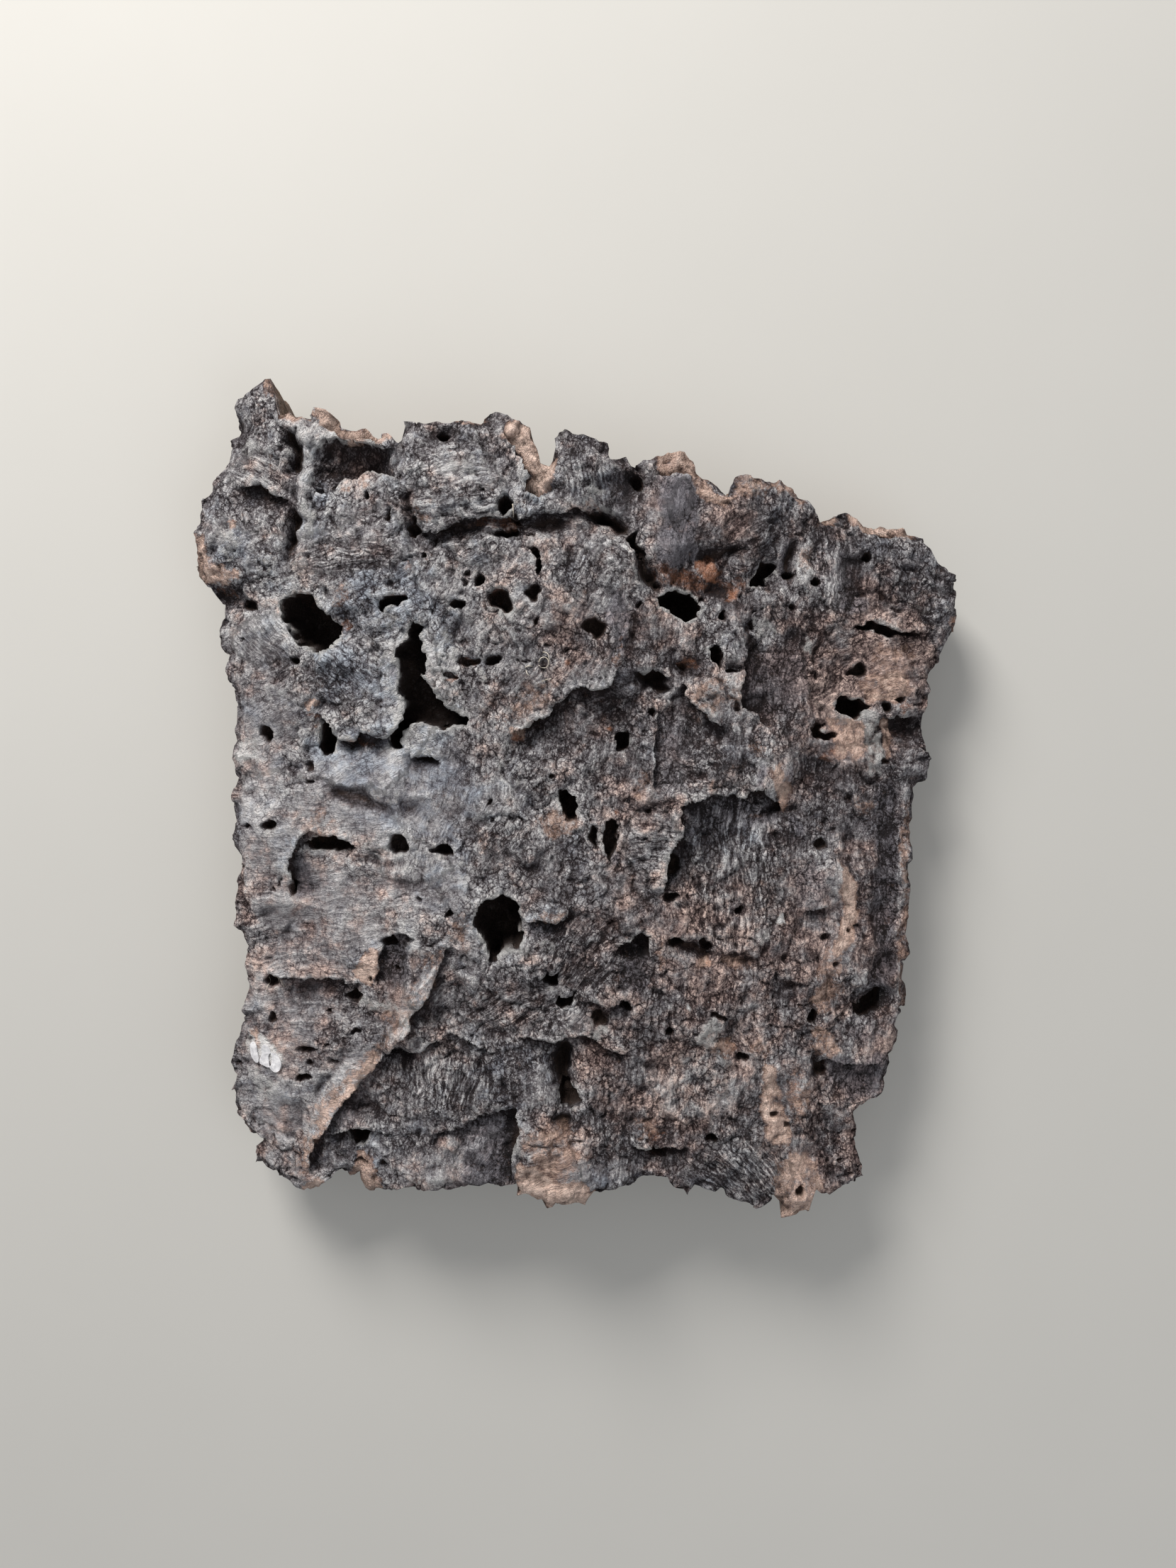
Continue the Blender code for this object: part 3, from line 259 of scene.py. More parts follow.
# Round holes: centre, radii, depth.
holes = [
    (-28, 74, 5, 4.6, 10), (-36.5, 81, 2.2, 3.0, 7), (-17, 76.5, 2.2, 3.2, 6),
    (-26.8, 107.5, 2.8, 3.2, 10), (-26, 98, 4.2, 1.8, 7), (10, 103.5, 2.3, 1.9, 7),
    (77, 82.5, 2.7, 1.8, 5), (88.5, 81, 1.9, 1.8, 6), (5, 63, 4.6, 3.2, 6), (-31.5, 52, 2.5, 2.0, 6),
    (-40, 51.5, 4.2, 2.0, 4), (-118.5, 24.5, 2.6, 3.2, 6), (-118, -11.5, 3.2, 1.7, 6),
    (-67.5, -17, 3.4, 3.2, 7), (-107, 52, 1.8, 2.0, 5), (-109, -36, 1.8, 3.2, 4),
    (89.5, -85, 2.2, 2.8, 6), (93.5, -106, 2.2, 3.6, 5), (50, -132, 2.6, 1.8, 6),
    (34, -87.5, 1.8, 2.2, 5), (47, -56, 2.3, 2.3, 7), (36, -54.5, 3.0, 1.8, 5), (18.5, -79, 2.8, 2.0, 7),
    (8, -84, 3.0, 3.6, 4), (121, 36.5, 1.9, 1.9, 5), (116, 32.8, 1.8, 2.0, 5), (104.5, 47.5, 3.0, 3.0, 5),
    (-72, -54.5, 3.4, 1.9, 6), (-118, -73, 3.2, 2.6, 6), (-119, -87, 2.2, 2.2, 4),
    (-87, -77.5, 4.2, 2.2, 5), (-105, -98, 4.0, 1.7, 5), (-106, -109.5, 3.0, 1.7, 5),
    (29, -137, 5.0, 2.0, 5), (-124, 72, 2.6, 2.4, 6), (-44, 72.5, 3.2, 1.8, 6), (-60, 99, 3.0, 2.2, 5),
    (34.5, -37, 3.4, 1.9, 5), (63, -100, 3.0, 1.8, 5), (107.5, 91.5, 1.9, 1.9, 5), (57, 48, 2.2, 1.6, 4),
    (53, 69, 2.0, 2.2, 6), (-58, 15, 4.6, 1.8, 4), (36, -25, 2.8, 4.6, 4), (60.5, -43.5, 1.6, 2.4, 5),
    (21, 116, 2.8, 3.0, 6), (-48.5, -42.5, 2.0, 2.0, 5), (74, -122, 1.7, 1.7, 5),
    (84.5, -153.5, 1.8, 1.7, 5), (-49, 133, 2.8, 2.4, 6), (91, -17.5, 3.4, 1.8, 4),
    (6.5, -14.5, 1.8, 3.4, 6),
]

# Low spots of the inner side that the slab rests on: centre, radius.
restSpots = [(-124, 88, 8), (-124, -104, 8), (124, 66, 8), (115, -92, 8), (-126, -10, 6), (121, -10, 6)]

# Holes too small for the main shape: centre, radii, depth.
tinyHoles = [
    (-47.5, 46, 2.4, 1.2, 3), (27.6, 32.3, 1.1, 1.6, 4), (-22.5, 103, 1.5, 1.5, 5),
    (-126, -11.5, 2.6, 0.9, 3), (-101.5, 12, 1.6, 1.8, 3), (-101, 5.8, 2.0, 0.8, 3),
    (-97, -97, 1.5, 0.9, 3), (-104, -103, 2.4, 1.0, 3), (-94, -103, 1.6, 1.0, 4), (-97, -83, 1.5, 0.7, 3),
    (-133, -106, 0.9, 0.9, 2), (88, 46.5, 0.8, 1.7, 3), (52.5, -82.3, 2.6, 1.0, 4),
    (79, -126, 1.0, 1.4, 3), (98, -64, 2.2, 0.9, 3), (93, -54, 1.6, 1.6, 3), (58, 35, 1.0, 2.6, 3),
    (46, 75, 1.2, 1.2, 3), (79, 71, 1.0, 1.6, 3), (63, 64, 0.9, 2.4, 3), (116, 13, 1.6, 1.1, 3),
    (33, -25, 1.1, 1.8, 3), (102, -51, 0.9, 0.9, 3), (104.5, 76, 1.6, 1.0, 2), (-86, -90, 2.2, 1.0, 3),
    (-69, -66, 1.6, 0.9, 3), (-114, -33, 0.8, 1.1, 2), (-116, -35, 0.9, 1.1, 2), (-60, -38, 1.0, 1.4, 2),
    (26.5, -4, 1.1, 0.9, 3), (-31.5, -7.5, 0.9, 1.1, 3), (-34, -2, 0.8, 1.1, 3), (-11, 9, 0.9, 0.9, 3),
    (15, 33, 1.0, 1.0, 2), (-12, 57.5, 1.6, 0.8, 3), (-4, 56, 2.6, 0.7, 2), (-35, 113, 1.2, 0.9, 2),
    (-41.5, 85, 0.9, 0.9, 3), (-42, 81, 0.8, 0.8, 3), (-78, 113, 1.1, 1.2, 3), (-69, 105, 1.3, 2.6, 3),
    (-60.5, 102.5, 0.9, 1.6, 4), (-56, 91, 1.4, 0.9, 3), (-52, 94.5, 1.0, 1.4, 3),
    (22.5, 71, 1.2, 1.4, 3), (-15, 67, 1.2, 1.4, 3), (118.5, 71, 2.4, 1.0, 2), (114, 76, 2.2, 1.2, 2),
    (-79, -68.5, 0.9, 0.8, 3), (-127, 60, 1.0, 0.8, 2), (106, -50, 0.8, 0.8, 2), (60.5, -56, 0.7, 0.7, 2),
    (88, 27, 1.4, 1.0, 3), (-16.5, 97.5, 1.6, 0.8, 3), (-76, -143, 2.0, 0.7, 3),
    (-84, -143.5, 3.4, 0.7, 3), (-20, 51.5, 4.0, 0.6, 2), (37, 49, 2.0, 1.6, 3), (24, 32, 0.9, 0.7, 2),
    (101.5, -143, 1.5, 1.5, 2),
]

# Where broken cork shows its tan inside: an outline or an oval, and a strength.
freshCork = [
    ([(-96, 146), (-92, 145), (-89, 141), (-86, 139), (-75, 137), (-73, 135), (-69, 136), (-66, 133),
      (-75, 131.5), (-82, 130.5), (-88, 132.5), (-93, 137)], 0.85),
    ([(-112, 143), (-107, 145.5), (-104, 143), (-99, 143), (-99, 140.5), (-104, 141), (-110, 140.8)],
      0.8),
    ([(-46.5, 140), (-40, 141), (-36, 139), (-31, 139), (-36, 136.8), (-42, 137.4)], 0.9),
    ([(-27, 133.5), (-24, 138), (-21, 140), (-17, 137), (-14, 132), (-14, 126), (-11.5, 124),
      (-8, 124.5), (-7.6, 118), (-9.5, 113), (-14, 111), (-19, 113), (-17, 118), (-20, 124), (-24, 129)],
      1.0),
    ([(29, 120), (31.5, 126), (35, 129.5), (39, 128.5), (44, 124), (44, 119), (50, 114), (57, 112),
      (50, 108), (43, 112), (40, 118), (36, 120)], 0.8),
    ([(56, 111), (56, 118), (60, 119), (64, 120.5), (69, 118.5), (68, 111)], 0.55),
    ([(88, 102.5), (89, 105), (94, 106), (97, 105.5), (95, 102.8)], 1.0),
    ([(99, 108), (105, 104), (112, 103.5), (125, 101), (129, 99), (126, 97.6), (112, 98.6), (105, 98.6),
      (101, 101)], 0.95),
    ([(-146, 93), (-146, 86), (-143, 80), (-139, 79.5), (-131, 80.5), (-128, 83), (-129, 86), (-135, 89),
      (-139, 93), (-140, 98), (-145, 100)], 0.75),
    ([(-131, 104), (-127, 104), (-125.5, 100.5), (-130, 99.3)], 1.0),
    ([(92, 31), (97, 31.5), (102, 30), (107, 27), (108.5, 20), (106, 14), (103, 12), (98, 14), (96, 20),
      (94, 27)], 0.72),
    ([(114.5, 29), (118, 28), (119, 21), (120, 15), (115, 14), (114, 20)], 0.8),
    ([(103, 43), (110, 46), (118, 50), (125, 45), (126, 38), (118, 36), (110, 35), (106, 39)], 0.7),
    ([(70, 13), (72, 8), (73, 3), (75, -3), (77, -6), (80, -2), (82, 3), (79, 4), (76, 7), (74, 14)],
      0.85),
    ([(99, -24), (103, -26), (105, -36), (106, -48), (104, -56), (99, -62), (98, -54), (101, -46),
      (99, -36)], 0.95),
    ([(96, -56), (101, -60), (98, -67), (95, -74), (95, -82), (90, -84), (89, -74), (91, -66)], 0.62),
    ([(88, -88), (94, -88), (101, -98), (98, -102), (90, -99)], 0.6),
    ([(70, -101), (74, -101), (77, -110), (77, -119), (81, -127), (82, -136), (74, -134), (70, -122)],
      0.85),
    ([(74, -155), (76, -140), (84, -138), (92, -142), (93, -152), (92, -168), (80, -168), (76, -160)],
      0.75),
    ([(28, 128), (36, 131), (45, 126), (50, 116), (46, 117), (38, 119), (30, 119)], 0.8),
    ([(64, 122), (72, 120), (80, 116), (86, 111), (82, 109), (74, 113), (66, 115)], 0.5),
    ([(-24, -139), (-18, -140), (-12, -145), (-4, -145), (3, -148), (7, -155), (-2, -158), (-11.5, -158),
      (-20, -156), (-24, -155)], 1.0),
    ([(-107, -149), (-104.5, -136), (-100.5, -132), (-96, -125), (-89, -118), (-82, -108),
      (-75.5, -100.5), (-79, -98.5), (-85, -103), (-89, -109), (-93, -115), (-100, -123), (-104, -131),
      (-108, -140)], 0.75),
    ([(-112, -152), (-110, -138), (-104, -126), (-97, -114), (-88, -103), (-80, -94), (-75, -99),
      (-83, -109), (-91, -119), (-98, -127), (-102, -134), (-105, -150)], 0.42),
    ([(-79, -94), (-70, -84), (-63, -72), (-57, -58), (-50, -48), (-47, -52), (-53, -68), (-62, -82),
      (-75, -100)], 0.36),
    ([(-66, -89), (-57, -76), (-53, -68), (-56, -68), (-62, -77), (-68, -86)], 0.45),
    ([(-78, -56.5), (-75, -57.5), (-76.5, -66), (-80, -73.5), (-84.5, -70), (-84.5, -66), (-81, -61)],
      1.0),
    ([(-86, -140), (-79, -141), (-75.5, -148), (-76, -158), (-84, -158), (-86, -151), (-91, -149),
      (-88, -145)], 0.75),
    ([(-112, -160), (-101, -160), (-98, -152), (-104, -151), (-110, -153)], 1.0),
    ([(-100, -153), (-97, -148), (-90, -147.5), (-89, -150), (-98, -154)], 0.6),
    ([(-103, 38), (-99, 38.3), (-98, 35), (-101, 34)], 0.95),
    ([(-26, 26), (-20, 26), (-20.5, 22), (-24, 21.5)], 0.85),
    ([(-129, -91), (-125, -92), (-124, -99), (-127, -100)], 0.7), (-8, -9.5, 10, 6, 0, 0.5),
    (-18, 36, 5, 14, -52, 0.42), (50, 39, 11, 8, 0, 0.42), (-98, -9, 7, 5, 0, 0.45),
    (-9, -134, 12, 13, 0, 0.62), (84, -115, 6, 11, 0, 0.5), (125.5, -60, 2.8, 44, 1, 0.45),
    (124, -20, 2.5, 20, 0, 0.5), (66, 18, 5, 5, 0, 0.3), (15, 55, 2, 6, 0, 0.4),
    (-115, 152, 3, 4, 0, 0.5), (54, -95, 4, 4, 0, 0.7), (60, -63, 6, 2, -10, 0.5),
    (47, -62, 4, 2, -20, 0.7), (120, 52, 10, 7, 0, 0.4), (108, -2, 7, 4, 0, 0.35),
    (95, -78, 7, 8, 0, 0.45), (88, -150, 5, 9, 0, 0.5), (25, -127, 7, 5, 0, 0.5),
    (-88, 76, 5, 6, 0, 0.45), (-62, 86, 3, 2.6, 0, 0.55), (-114, 126, 2.5, 3, 0, 0.4),
    (143, 66, 3, 5, 0, 0.6), (-55, 107, 5, 4, 0, 0.35), (-78, 115.5, 2.5, 2, 0, 0.5),
    (-84, 114, 2, 1.5, 0, 0.5), (99, 27, 6, 3, 0, 0.5), (68, -96, 5, 5, 0, 0.4), (-44, -47, 4, 6, 0, 0.5),
    (-12, -44, 8, 2, 0, 0.5), (30, -58, 1.6, 6, 0, 0.4), (84, 90, 2.6, 7, 0, 0.5), (23, 6, 3, 6, 0, 0.45),
    (-72, -84, 5, 3, 0, 0.55), (32.5, 100, 1.5, 1.5, 0, 0.2), (114, 57, 4, 3, 0, 0.5),
]

# Rusty orange cork.
rustCork = [
    (37, 82, 12, 4.5, -18, 0.55), (56, 79, 6, 4, -20, 0.5), (-96, 27, 5, 3, 0, 0.35),
    (-94, -13, 10, 2, 0, 0.45), ([(42, 89), (49, 90), (52, 85), (51, 80.5), (46, 82), (42, 86)], 1.0),
    ([(53.5, 77.5), (57, 78), (58.5, 74), (54, 72)], 0.9), (143.5, 66, 2.5, 4, 0, 0.6),
    (77, -2, 3, 4, 0, 0.5), (94, 15, 4, 3, 0, 0.5), (14, -4, 1.6, 1.4, 0, 0.7),
    (-23, 21.5, 3, 1.6, 0, 0.7), (48, -62, 3, 1.2, -20, 0.6), (57, -95, 3, 2.4, 0, 0.5),
    (84, -112, 4, 7, 0, 0.4), (-80, -50.5, 2, 2, 0, 0.2), (-5, 51, 1.2, 1.4, 0, 0.8),
    (-86, 64, 3, 3, 0, 0.5), (40, 50, 5, 3, 0, 0.55), (11, 26, 2.6, 1.6, 0, 0.7),
    (-98, 31, 5, 1.6, -10, 0.6), (-103, 75, 7, 3, 0, 0.45), (-127, 104, 2, 1, 0, 0.7),
    (123, 35, 4, 2.6, 0, 0.6), (-94, -16.5, 9, 1.6, 0, 0.4), (28, -130, 6, 3, 0, 0.5),
    (2, -138, 5, 5, 0, 0.3), (-6, -150, 11, 6, 0, 0.3), (-30, 101, 12, 2.6, 0, 0.5),
    (5, 107, 5, 1.6, -20, 0.5), (42, 79, 9, 2, -15, 0.4), (-28, 75, 3.5, 3.5, 0, 0.5),
    (-40, 51, 4, 1.4, 0, 0.5), (-48, 45, 3, 1.4, 0, 0.6), (-36, 80, 1.6, 2.4, 0, 0.4),
    (-100, -140, 6, 7, 0, 0.25), (-134, 77, 5, 2.4, -20, 0.4), (-67, 76, 6, 1.2, 0, 0.45),
    (-82, 20.5, 7, 2, 0, 0.45),
]

# Smooth slate grey or bluish skin.
slateSkin = [
    ([(28, 118), (40, 119), (44, 110), (43, 100), (45, 92), (38, 86), (30, 86), (29, 95), (30, 108)],
      1.0),
    ([(11, 78), (17, 77), (19.5, 66), (18, 54), (12, 53), (11, 60), (9, 70)], 0.9),
    ([(30, 31), (40, 30), (40, 2), (30, 0.5)], 0.55),
    ([(61, 58), (82, 55), (86, 36), (70, 30), (62, 38)], 0.6),
    ([(39, -3), (50, 0), (72, 0), (76, -8), (70, -13), (45, -12), (39, -9)], 0.7),
    (67.5, 9, 2.2, 6, 0, 0.9), (77, 9, 2.6, 5, 0, 0.8), (80.5, -10, 3.6, 5, 20, 0.95),
    (87, -33, 7, 11, 0, 0.6), (94, -32, 4, 6, 0, 0.5), (12.5, -19, 2.4, 8, 0, 0.9),
    (-14, -50, 6, 5, 0, 0.75), (-69, -62, 6, 9, 0, 0.75),
    ([(-46, -124), (-30, -122), (-24, -124), (-24, -150), (-46, -150)], 0.7), (21, -64, 6, 10, 10, 0.7),
    ([(113, 6), (121, 6), (122, -40), (121, -80), (111, -84), (112, -40)], 0.75),
    ([(94, -100), (120, -102), (121, -112), (116, -118), (104, -118), (96, -110)], 0.85),
    (-106, -31, 4, 9, 0, 0.7), (-3.3, -5, 3.5, 3.4, 0, 1.0), (-64, 48, 4, 12, 0, 0.9),
    (35.5, -27, 4, 6, 0, 0.9), (42, -13, 4, 3, 0, 0.8), (99, 84, 6, 10, 0, 0.6), (111, 93, 6, 3, 0, 0.7),
    (102, 74, 6, 4, 0, 0.7), (-6, -100, 4, 10, 0, 0.5), (3, 70, 4, 5, 0, 0.35), (-84, 58, 10, 8, 0, 0.45),
    (-72, 4, 12, 7, 0, 0.45), (-82, -8, 8, 8, 0, 0.4), (92, 90, 5, 14, 0, 0.45), (76, 88, 2.4, 9, 0, 0.7),
    (-46, 14, 5, 9, 0, 0.5), (-71, 28, 4, 4, 0, 0.3), (68, 42, 6, 12, 0, 0.4), (-100, -35, 10, 6, 0, 0.4),
    (-104, 120, 3, 12, 0, 0.4), (16, -79.5, 5, 2, 0, 0.7), (-100, -145, 8, 5, 0, 0.3),
    (-58, -110, 14, 12, 0, 0.25), (60, -30, 14, 20, 0, 0.2), (110, -90, 8, 8, 0, 0.5),
    (107, -12, 10, 5, 0, 0.5), (78, 54, 3, 6, 0, 0.5), (-90, -126, 7, 4, 30, 0.5),
]

# Smooth clay-like bark without crumbs.
calmAreas = [
    (-72, 2, 40, 22, 0, 1.0), (-98, -46, 28, 26, 0, 0.9), (-112, -82, 20, 20, 0, 0.8),
    (-118, -112, 15, 24, 0, 0.9), (-120, 25, 13, 26, 0, 0.8), (-118, 62, 13, 14, 0, 0.6),
    (-60, -30, 22, 15, 0, 0.8), (-118, -14, 14, 24, 0, 0.8), (-6, -146, 15, 11, 0, 0.7),
    (-45, 8, 10, 14, 0, 0.7), (97, -48, 8, 22, 0, 0.8), (98, 22, 11, 11, 0, 0.9),
    (118, 44, 12, 8, 0, 0.6), (-90, -112, 10, 22, -36, 0.8), (-62, -74, 10, 18, -36, 0.8),
    (-70, 32, 10, 10, 0, 0.6), (-50, -144, 24, 8, 0, 0.7), (86, -150, 7, 14, 0, 0.8),
    (76, -116, 6, 18, 0, 0.7), (36, 103, 9, 18, 0, 0.7), (-84, 96, 16, 8, 0, 0.3),
    (-38, 122, 16, 8, 0, 0.4),
]

# Pale crusts of lichen.
lichen = [
    ([(-130, 12), (-121, 13), (-120, 20), (-123, 24), (-130, 21)], 0.75),
    ([(-130, -94), (-125, -94), (-120, -97), (-115.5, -100), (-116, -105.5), (-121, -105), (-127, -103),
      (-130, -100)], 1.0),
    ([(-129, -107), (-118, -109), (-115, -116), (-119, -122), (-127, -120)], 0.6),
    ([(-84, -77), (-72, -77), (-63, -81), (-64, -85), (-73, -84), (-83, -81)], 0.6),
    ([(46, -84), (51, -81.5), (55, -85), (54, -93), (49, -96), (44, -91)], 0.65),
    ([(107, 31), (112, 32), (115, 20), (114, 6), (109, 8), (107, 18)], 0.65),
    (-79.5, -19, 2.4, 2.2, 0, 0.55), (76, -46, 2.0, 1.3, 10, 1.0), (41.5, -79, 1.0, 2.0, 10, 1.0),
    (49.5, -78, 0.8, 1.0, 0, 1.0), (68, 64, 5, 5, 0, 0.5), (-35, 47, 1.8, 4, 10, 0.6),
    (6, 113, 4, 3, -20, 0.6), (-40, 122, 12, 4, 0, 0.5), (-122, 131, 6, 4, 30, 0.55),
    (-70, 66, 6, 4, 30, 0.5), (-57, -150, 14, 3, 0, 0.5), (-130, 95, 6, 6, 0, 0.5),
    (-118, 86, 8, 7, 0, 0.4), (-99, 106, 2.0, 9, 0, 0.6), (-104, 86, 3, 6, 20, 0.4),
    (-72, 3, 10, 6, 0, 0.35), (-112, 40, 8, 6, 0, 0.4), (-60, -24, 12, 5, 0, 0.4),
    (-45, 33, 8, 6, 0, 0.35), (-26, 10, 7, 16, 10, 0.35), (-48, 56, 5, 9, 0, 0.5),
    (-30, 66, 10, 8, 0, 0.35), (-70, 36, 8, 9, 0, 0.35), (-60, 22, 8, 5, 0, 0.4),
    (-86, -44, 7, 6, 30, 0.4), (-45, -27, 7, 5, 0, 0.45), (8, -88, 4, 4, 0, 0.5),
    (85, 57, 3.4, 3, 0, 0.45), (-90, 144, 1, 1, 0, 0.2), (-65, 136, 2, 4, 0, 0.6),
    (64, 116, 3, 5, 0, 0.6), (-4, 133, 5, 2.4, 0, 0.5), (-10, -56, 5, 4, 0, 0.3),
    (-13.5, 120, 4, 10, 20, 0.5), (-21, -59, 3.6, 2.4, 0, 0.5), (66, -52, 5, 4, 0, 0.4),
    (-95, 22, 2, 2, 0, 0.1), (-120, -14, 5, 2.4, 0, 0.4), (-106, -2, 12, 8, 0, 0.25),
    (128, 72, 6, 4, 0, 0.35), (-121, 64, 6, 5, 0, 0.3),
]

# Lightness of the bark by area: oval, and how much lighter or darker. Many of the narrow dark ovals, in
# furrows, hollows and under lips, are painted shade.
tonesAndShade = [
    (-95, 0, 62, 200, 0, 0.32), (-96, -116, 6, 28, -38, 0.3), (-64, -74, 6, 26, -34, -0.3),
    (90, -90, 34, 75, 0, 0.28), (-40, 20, 30, 120, 0, 0.1), (10, -30, 40, 90, 0, 0.06),
    (-10, 75, 34, 34, 0, 0.22), (-42, 118, 22, 14, 0, 0.2), (-84, 124, 15, 7, 0, -0.4),
    (-88, 98, 22, 16, 0, -0.1), (-125, 104, 16, 12, 0, -0.1), (-40, 100, 18, 4, 0, -0.55),
    (-12, 100, 12, 3, 0, -0.4), (58, 92, 18, 14, 0, -0.3), (40, 80, 14, 4, -15, -0.7),
    (56, 76, 14, 6, 0, -0.3), (70, 84, 7, 6, 0, -0.4), (18, 115, 9, 8, 0, -0.35), (5, 118, 9, 12, 0, 0.1),
    (-14, 119, 5, 11, 20, 0.6), (98, 22, 6, 7, 0, -0.3), (92, -78, 6, 9, 0, -0.55),
    (103, 82, 5, 14, 0, -0.35), (124, 26, 7, 6, 0, -0.4), (75, 42, 15, 16, 0, -0.35),
    (41, 49.5, 6, 5, 0, -0.6), (50, 40, 13, 10, 0, 0.35), (50, 15, 14, 12, 0, -0.12),
    (57, -30, 22, 34, 0, 0.2), (80, -82, 8, 16, 0, -0.3), (36, 102, 8, 15, 0, -0.08),
    (20, -5, 7, 8, 0, -0.18), (93, 88, 4, 12, 0, 0.2), (46, 86, 5, 4, 0, 0.75), (56, 76, 4, 3, 0, 0.5),
    (38, 123, 9, 5, 0, 0.3), (108, -45, 5, 22, 0, -0.35), (70, 60, 4, 12, 0, 0.3),
    (85.5, 89, 3.6, 12, 0, 0.75), (58, -140, 20, 8, 0, 0.12), (86, -125, 5, 14, 0, -0.25),
    (55, -5, 18, 5, 0, -0.35), (100, -2, 12, 13, 0, -0.3), (70, 10, 9, 12, 0, 0.25),
    (75, -15, 10, 3, 0, -0.4), (114, -28, 7, 30, -4, -0.22), (117, -70, 6, 24, 6, -0.62),
    (118, -8, 5, 16, 0, -0.35), (124, -50, 2.5, 60, 0, 0.1), (112, -80, 9, 6, 0, -0.6),
    (107, -110, 14, 8, 0, -0.3), (100, -135, 12, 18, 0, -0.25), (92, -32, 8, 14, 0, 0.3),
    (88, -44, 7, 2, 0, -0.5), (10, -60, 14, 14, 30, -0.25), (21, -62, 6, 10, 0, -0.3),
    (8, 30, 16, 10, 0, -0.15), (-20, 36, 6, 15, -52, 0.3), (-26, 8, 8, 20, 0, 0.15),
    (-8, -8, 12, 7, 0, 0.25), (-28, -12, 7, 9, 0, -0.06), (-12, -44, 10, 4, 0, 0.25),
    (-62, -122, 30, 9, 0, -0.05), (-86, -126, 12, 8, 35, -0.4), (-38, -134, 12, 14, 0, 0.1),
    (-25.5, -136, 2.6, 20, 0, -0.4), (-8, -140, 15, 18, 0, 0.35), (-38, -110, 14, 10, 0, -0.1),
    (-60, -80, 16, 8, 20, 0.1), (-30, -84, 16, 6, 0, -0.1), (-88, -140, 8, 8, 0, -0.3),
    (-110, -145, 8, 8, 0, -0.15), (-6, -108, 6, 16, 0, -0.45), (14, -110, 14, 16, 0, -0.12),
    (30, -136, 14, 4, 0, -0.55), (30, -144, 16, 6, 0, -0.3), (42, -112, 20, 14, 0, 0.62),
    (68, -75, 16, 4, 0, -0.3), (80, -60, 12, 14, 0, -0.2), (-70, -64, 6, 11, 0, -0.45),
    (-102, -72, 20, 8, 0, -0.16), (-96, -32, 18, 10, 0, 0.02), (-95, -17.5, 11, 2.4, 0, -0.6),
    (-84, 1, 14, 4, -15, -0.4), (-70, -4, 10, 2, 0, -0.3), (-74, -24, 12, 1.8, 0, -0.3),
    (-66, -33, 12, 1.8, 0, -0.3), (-88, 45, 16, 10, 0, -0.16), (-84, 88, 20, 5, 0, -0.2),
    (-112, 30, 10, 2, 10, -0.3), (-99, 31, 7, 2, -10, -0.7), (-82, 22, 12, 2.6, 0, -0.4),
    (-58, 13, 7, 2.4, 0, -0.45), (-107, 118, 3, 20, 0, -0.35), (-108, 100, 4, 14, 10, -0.35),
    (-132, 76, 7, 3.6, -20, -0.5), (-120, 126, 12, 8, 0, 0.05), (-61, 105, 2, 12, 0, -0.3),
    (-48, 133, 7, 3, 0, -0.5), (-12, 126, 3.4, 4, 0, -0.5), (-2, 127, 3, 3, 0, -0.4),
    (26, 44, 9, 3, -10, -0.7), (5, 62, 6, 4, 0, -0.4), (22, 60, 2.4, 16, 0, -0.25),
    (24, 73, 4, 5, 0, -0.4), (86, 62, 5, 8, 20, -0.35), (82, 85, 2.8, 14, 0, 0.2),
    (78, 88, 2, 10, 0, -0.4), (118, 56, 12, 9, 0, 0.15), (112, 60.5, 14, 2, 0, 0.1),
    (88, 10, 8, 9, 0, -0.15), (80, 23, 12, 2, 0, -0.25), (-124, -142, 5, 6, 0, -0.3),
    (-120, -128, 14, 7, 0, -0.12), (66, -60, 14, 3, -8, -0.3), (45, -57, 14, 3, -20, -0.4),
    (73, 70, 12, 6, 0, -0.25), (100, -103, 12, 2, 0, -0.4), (91, -104, 2, 9, 0, -0.4),
    (-98, -94, 12, 8, 0, -0.12), (8, -84, 5, 4, 0, -0.35), (-90, 66, 6, 5, 0, -0.3),
    (-101, 50, 12, 3, 0, -0.1), (56, 56, 4, 6, 0, 0.15), (-106, -6, 20, 12, 0, 0.1),
]

# Cool grey or warm pinkish brown by area.
warmths = [
    (-95, 90, 45, 50, 0, -0.12), (-100, -70, 50, 65, 0, 0.3), (15, 0, 40, 120, 0, 0.25),
    (100, 40, 40, 40, 0, 0.65), (95, -90, 35, 80, 0, 0.55), (56, 100, 13, 14, 0, 0.5),
    (104, 46, 16, 14, 0, 0.4), (30, -90, 40, 60, 0, 0.3), (70, -40, 30, 30, 0, 0.1),
    (-75, 60, 30, 24, 0, -0.35), (-70, 5, 34, 26, 0, -0.5), (40, 100, 30, 30, 0, 0.1),
    (-100, -10, 14, 8, 0, 0.35), (120, 60, 18, 16, 0, 0.35), (-40, -110, 30, 20, 0, -0.05),
    (-10, -135, 14, 20, 0, 0.5), (57, -8, 18, 10, 0, -0.3), (-84, 124, 14, 8, 0, 0.5),
    (-108, 46, 14, 8, 0, 0.3), (-106, -66, 26, 12, 0, 0.22), (64, 60, 12, 8, 0, -0.4),
    (10, -60, 13, 13, 0, -0.4), (40, -118, 26, 14, 0, 0.25), (18, -6, 8, 9, 0, -0.25),
    (-28, -12, 9, 11, 0, -0.25), (-125, -112, 10, 10, 0, -0.2),
]

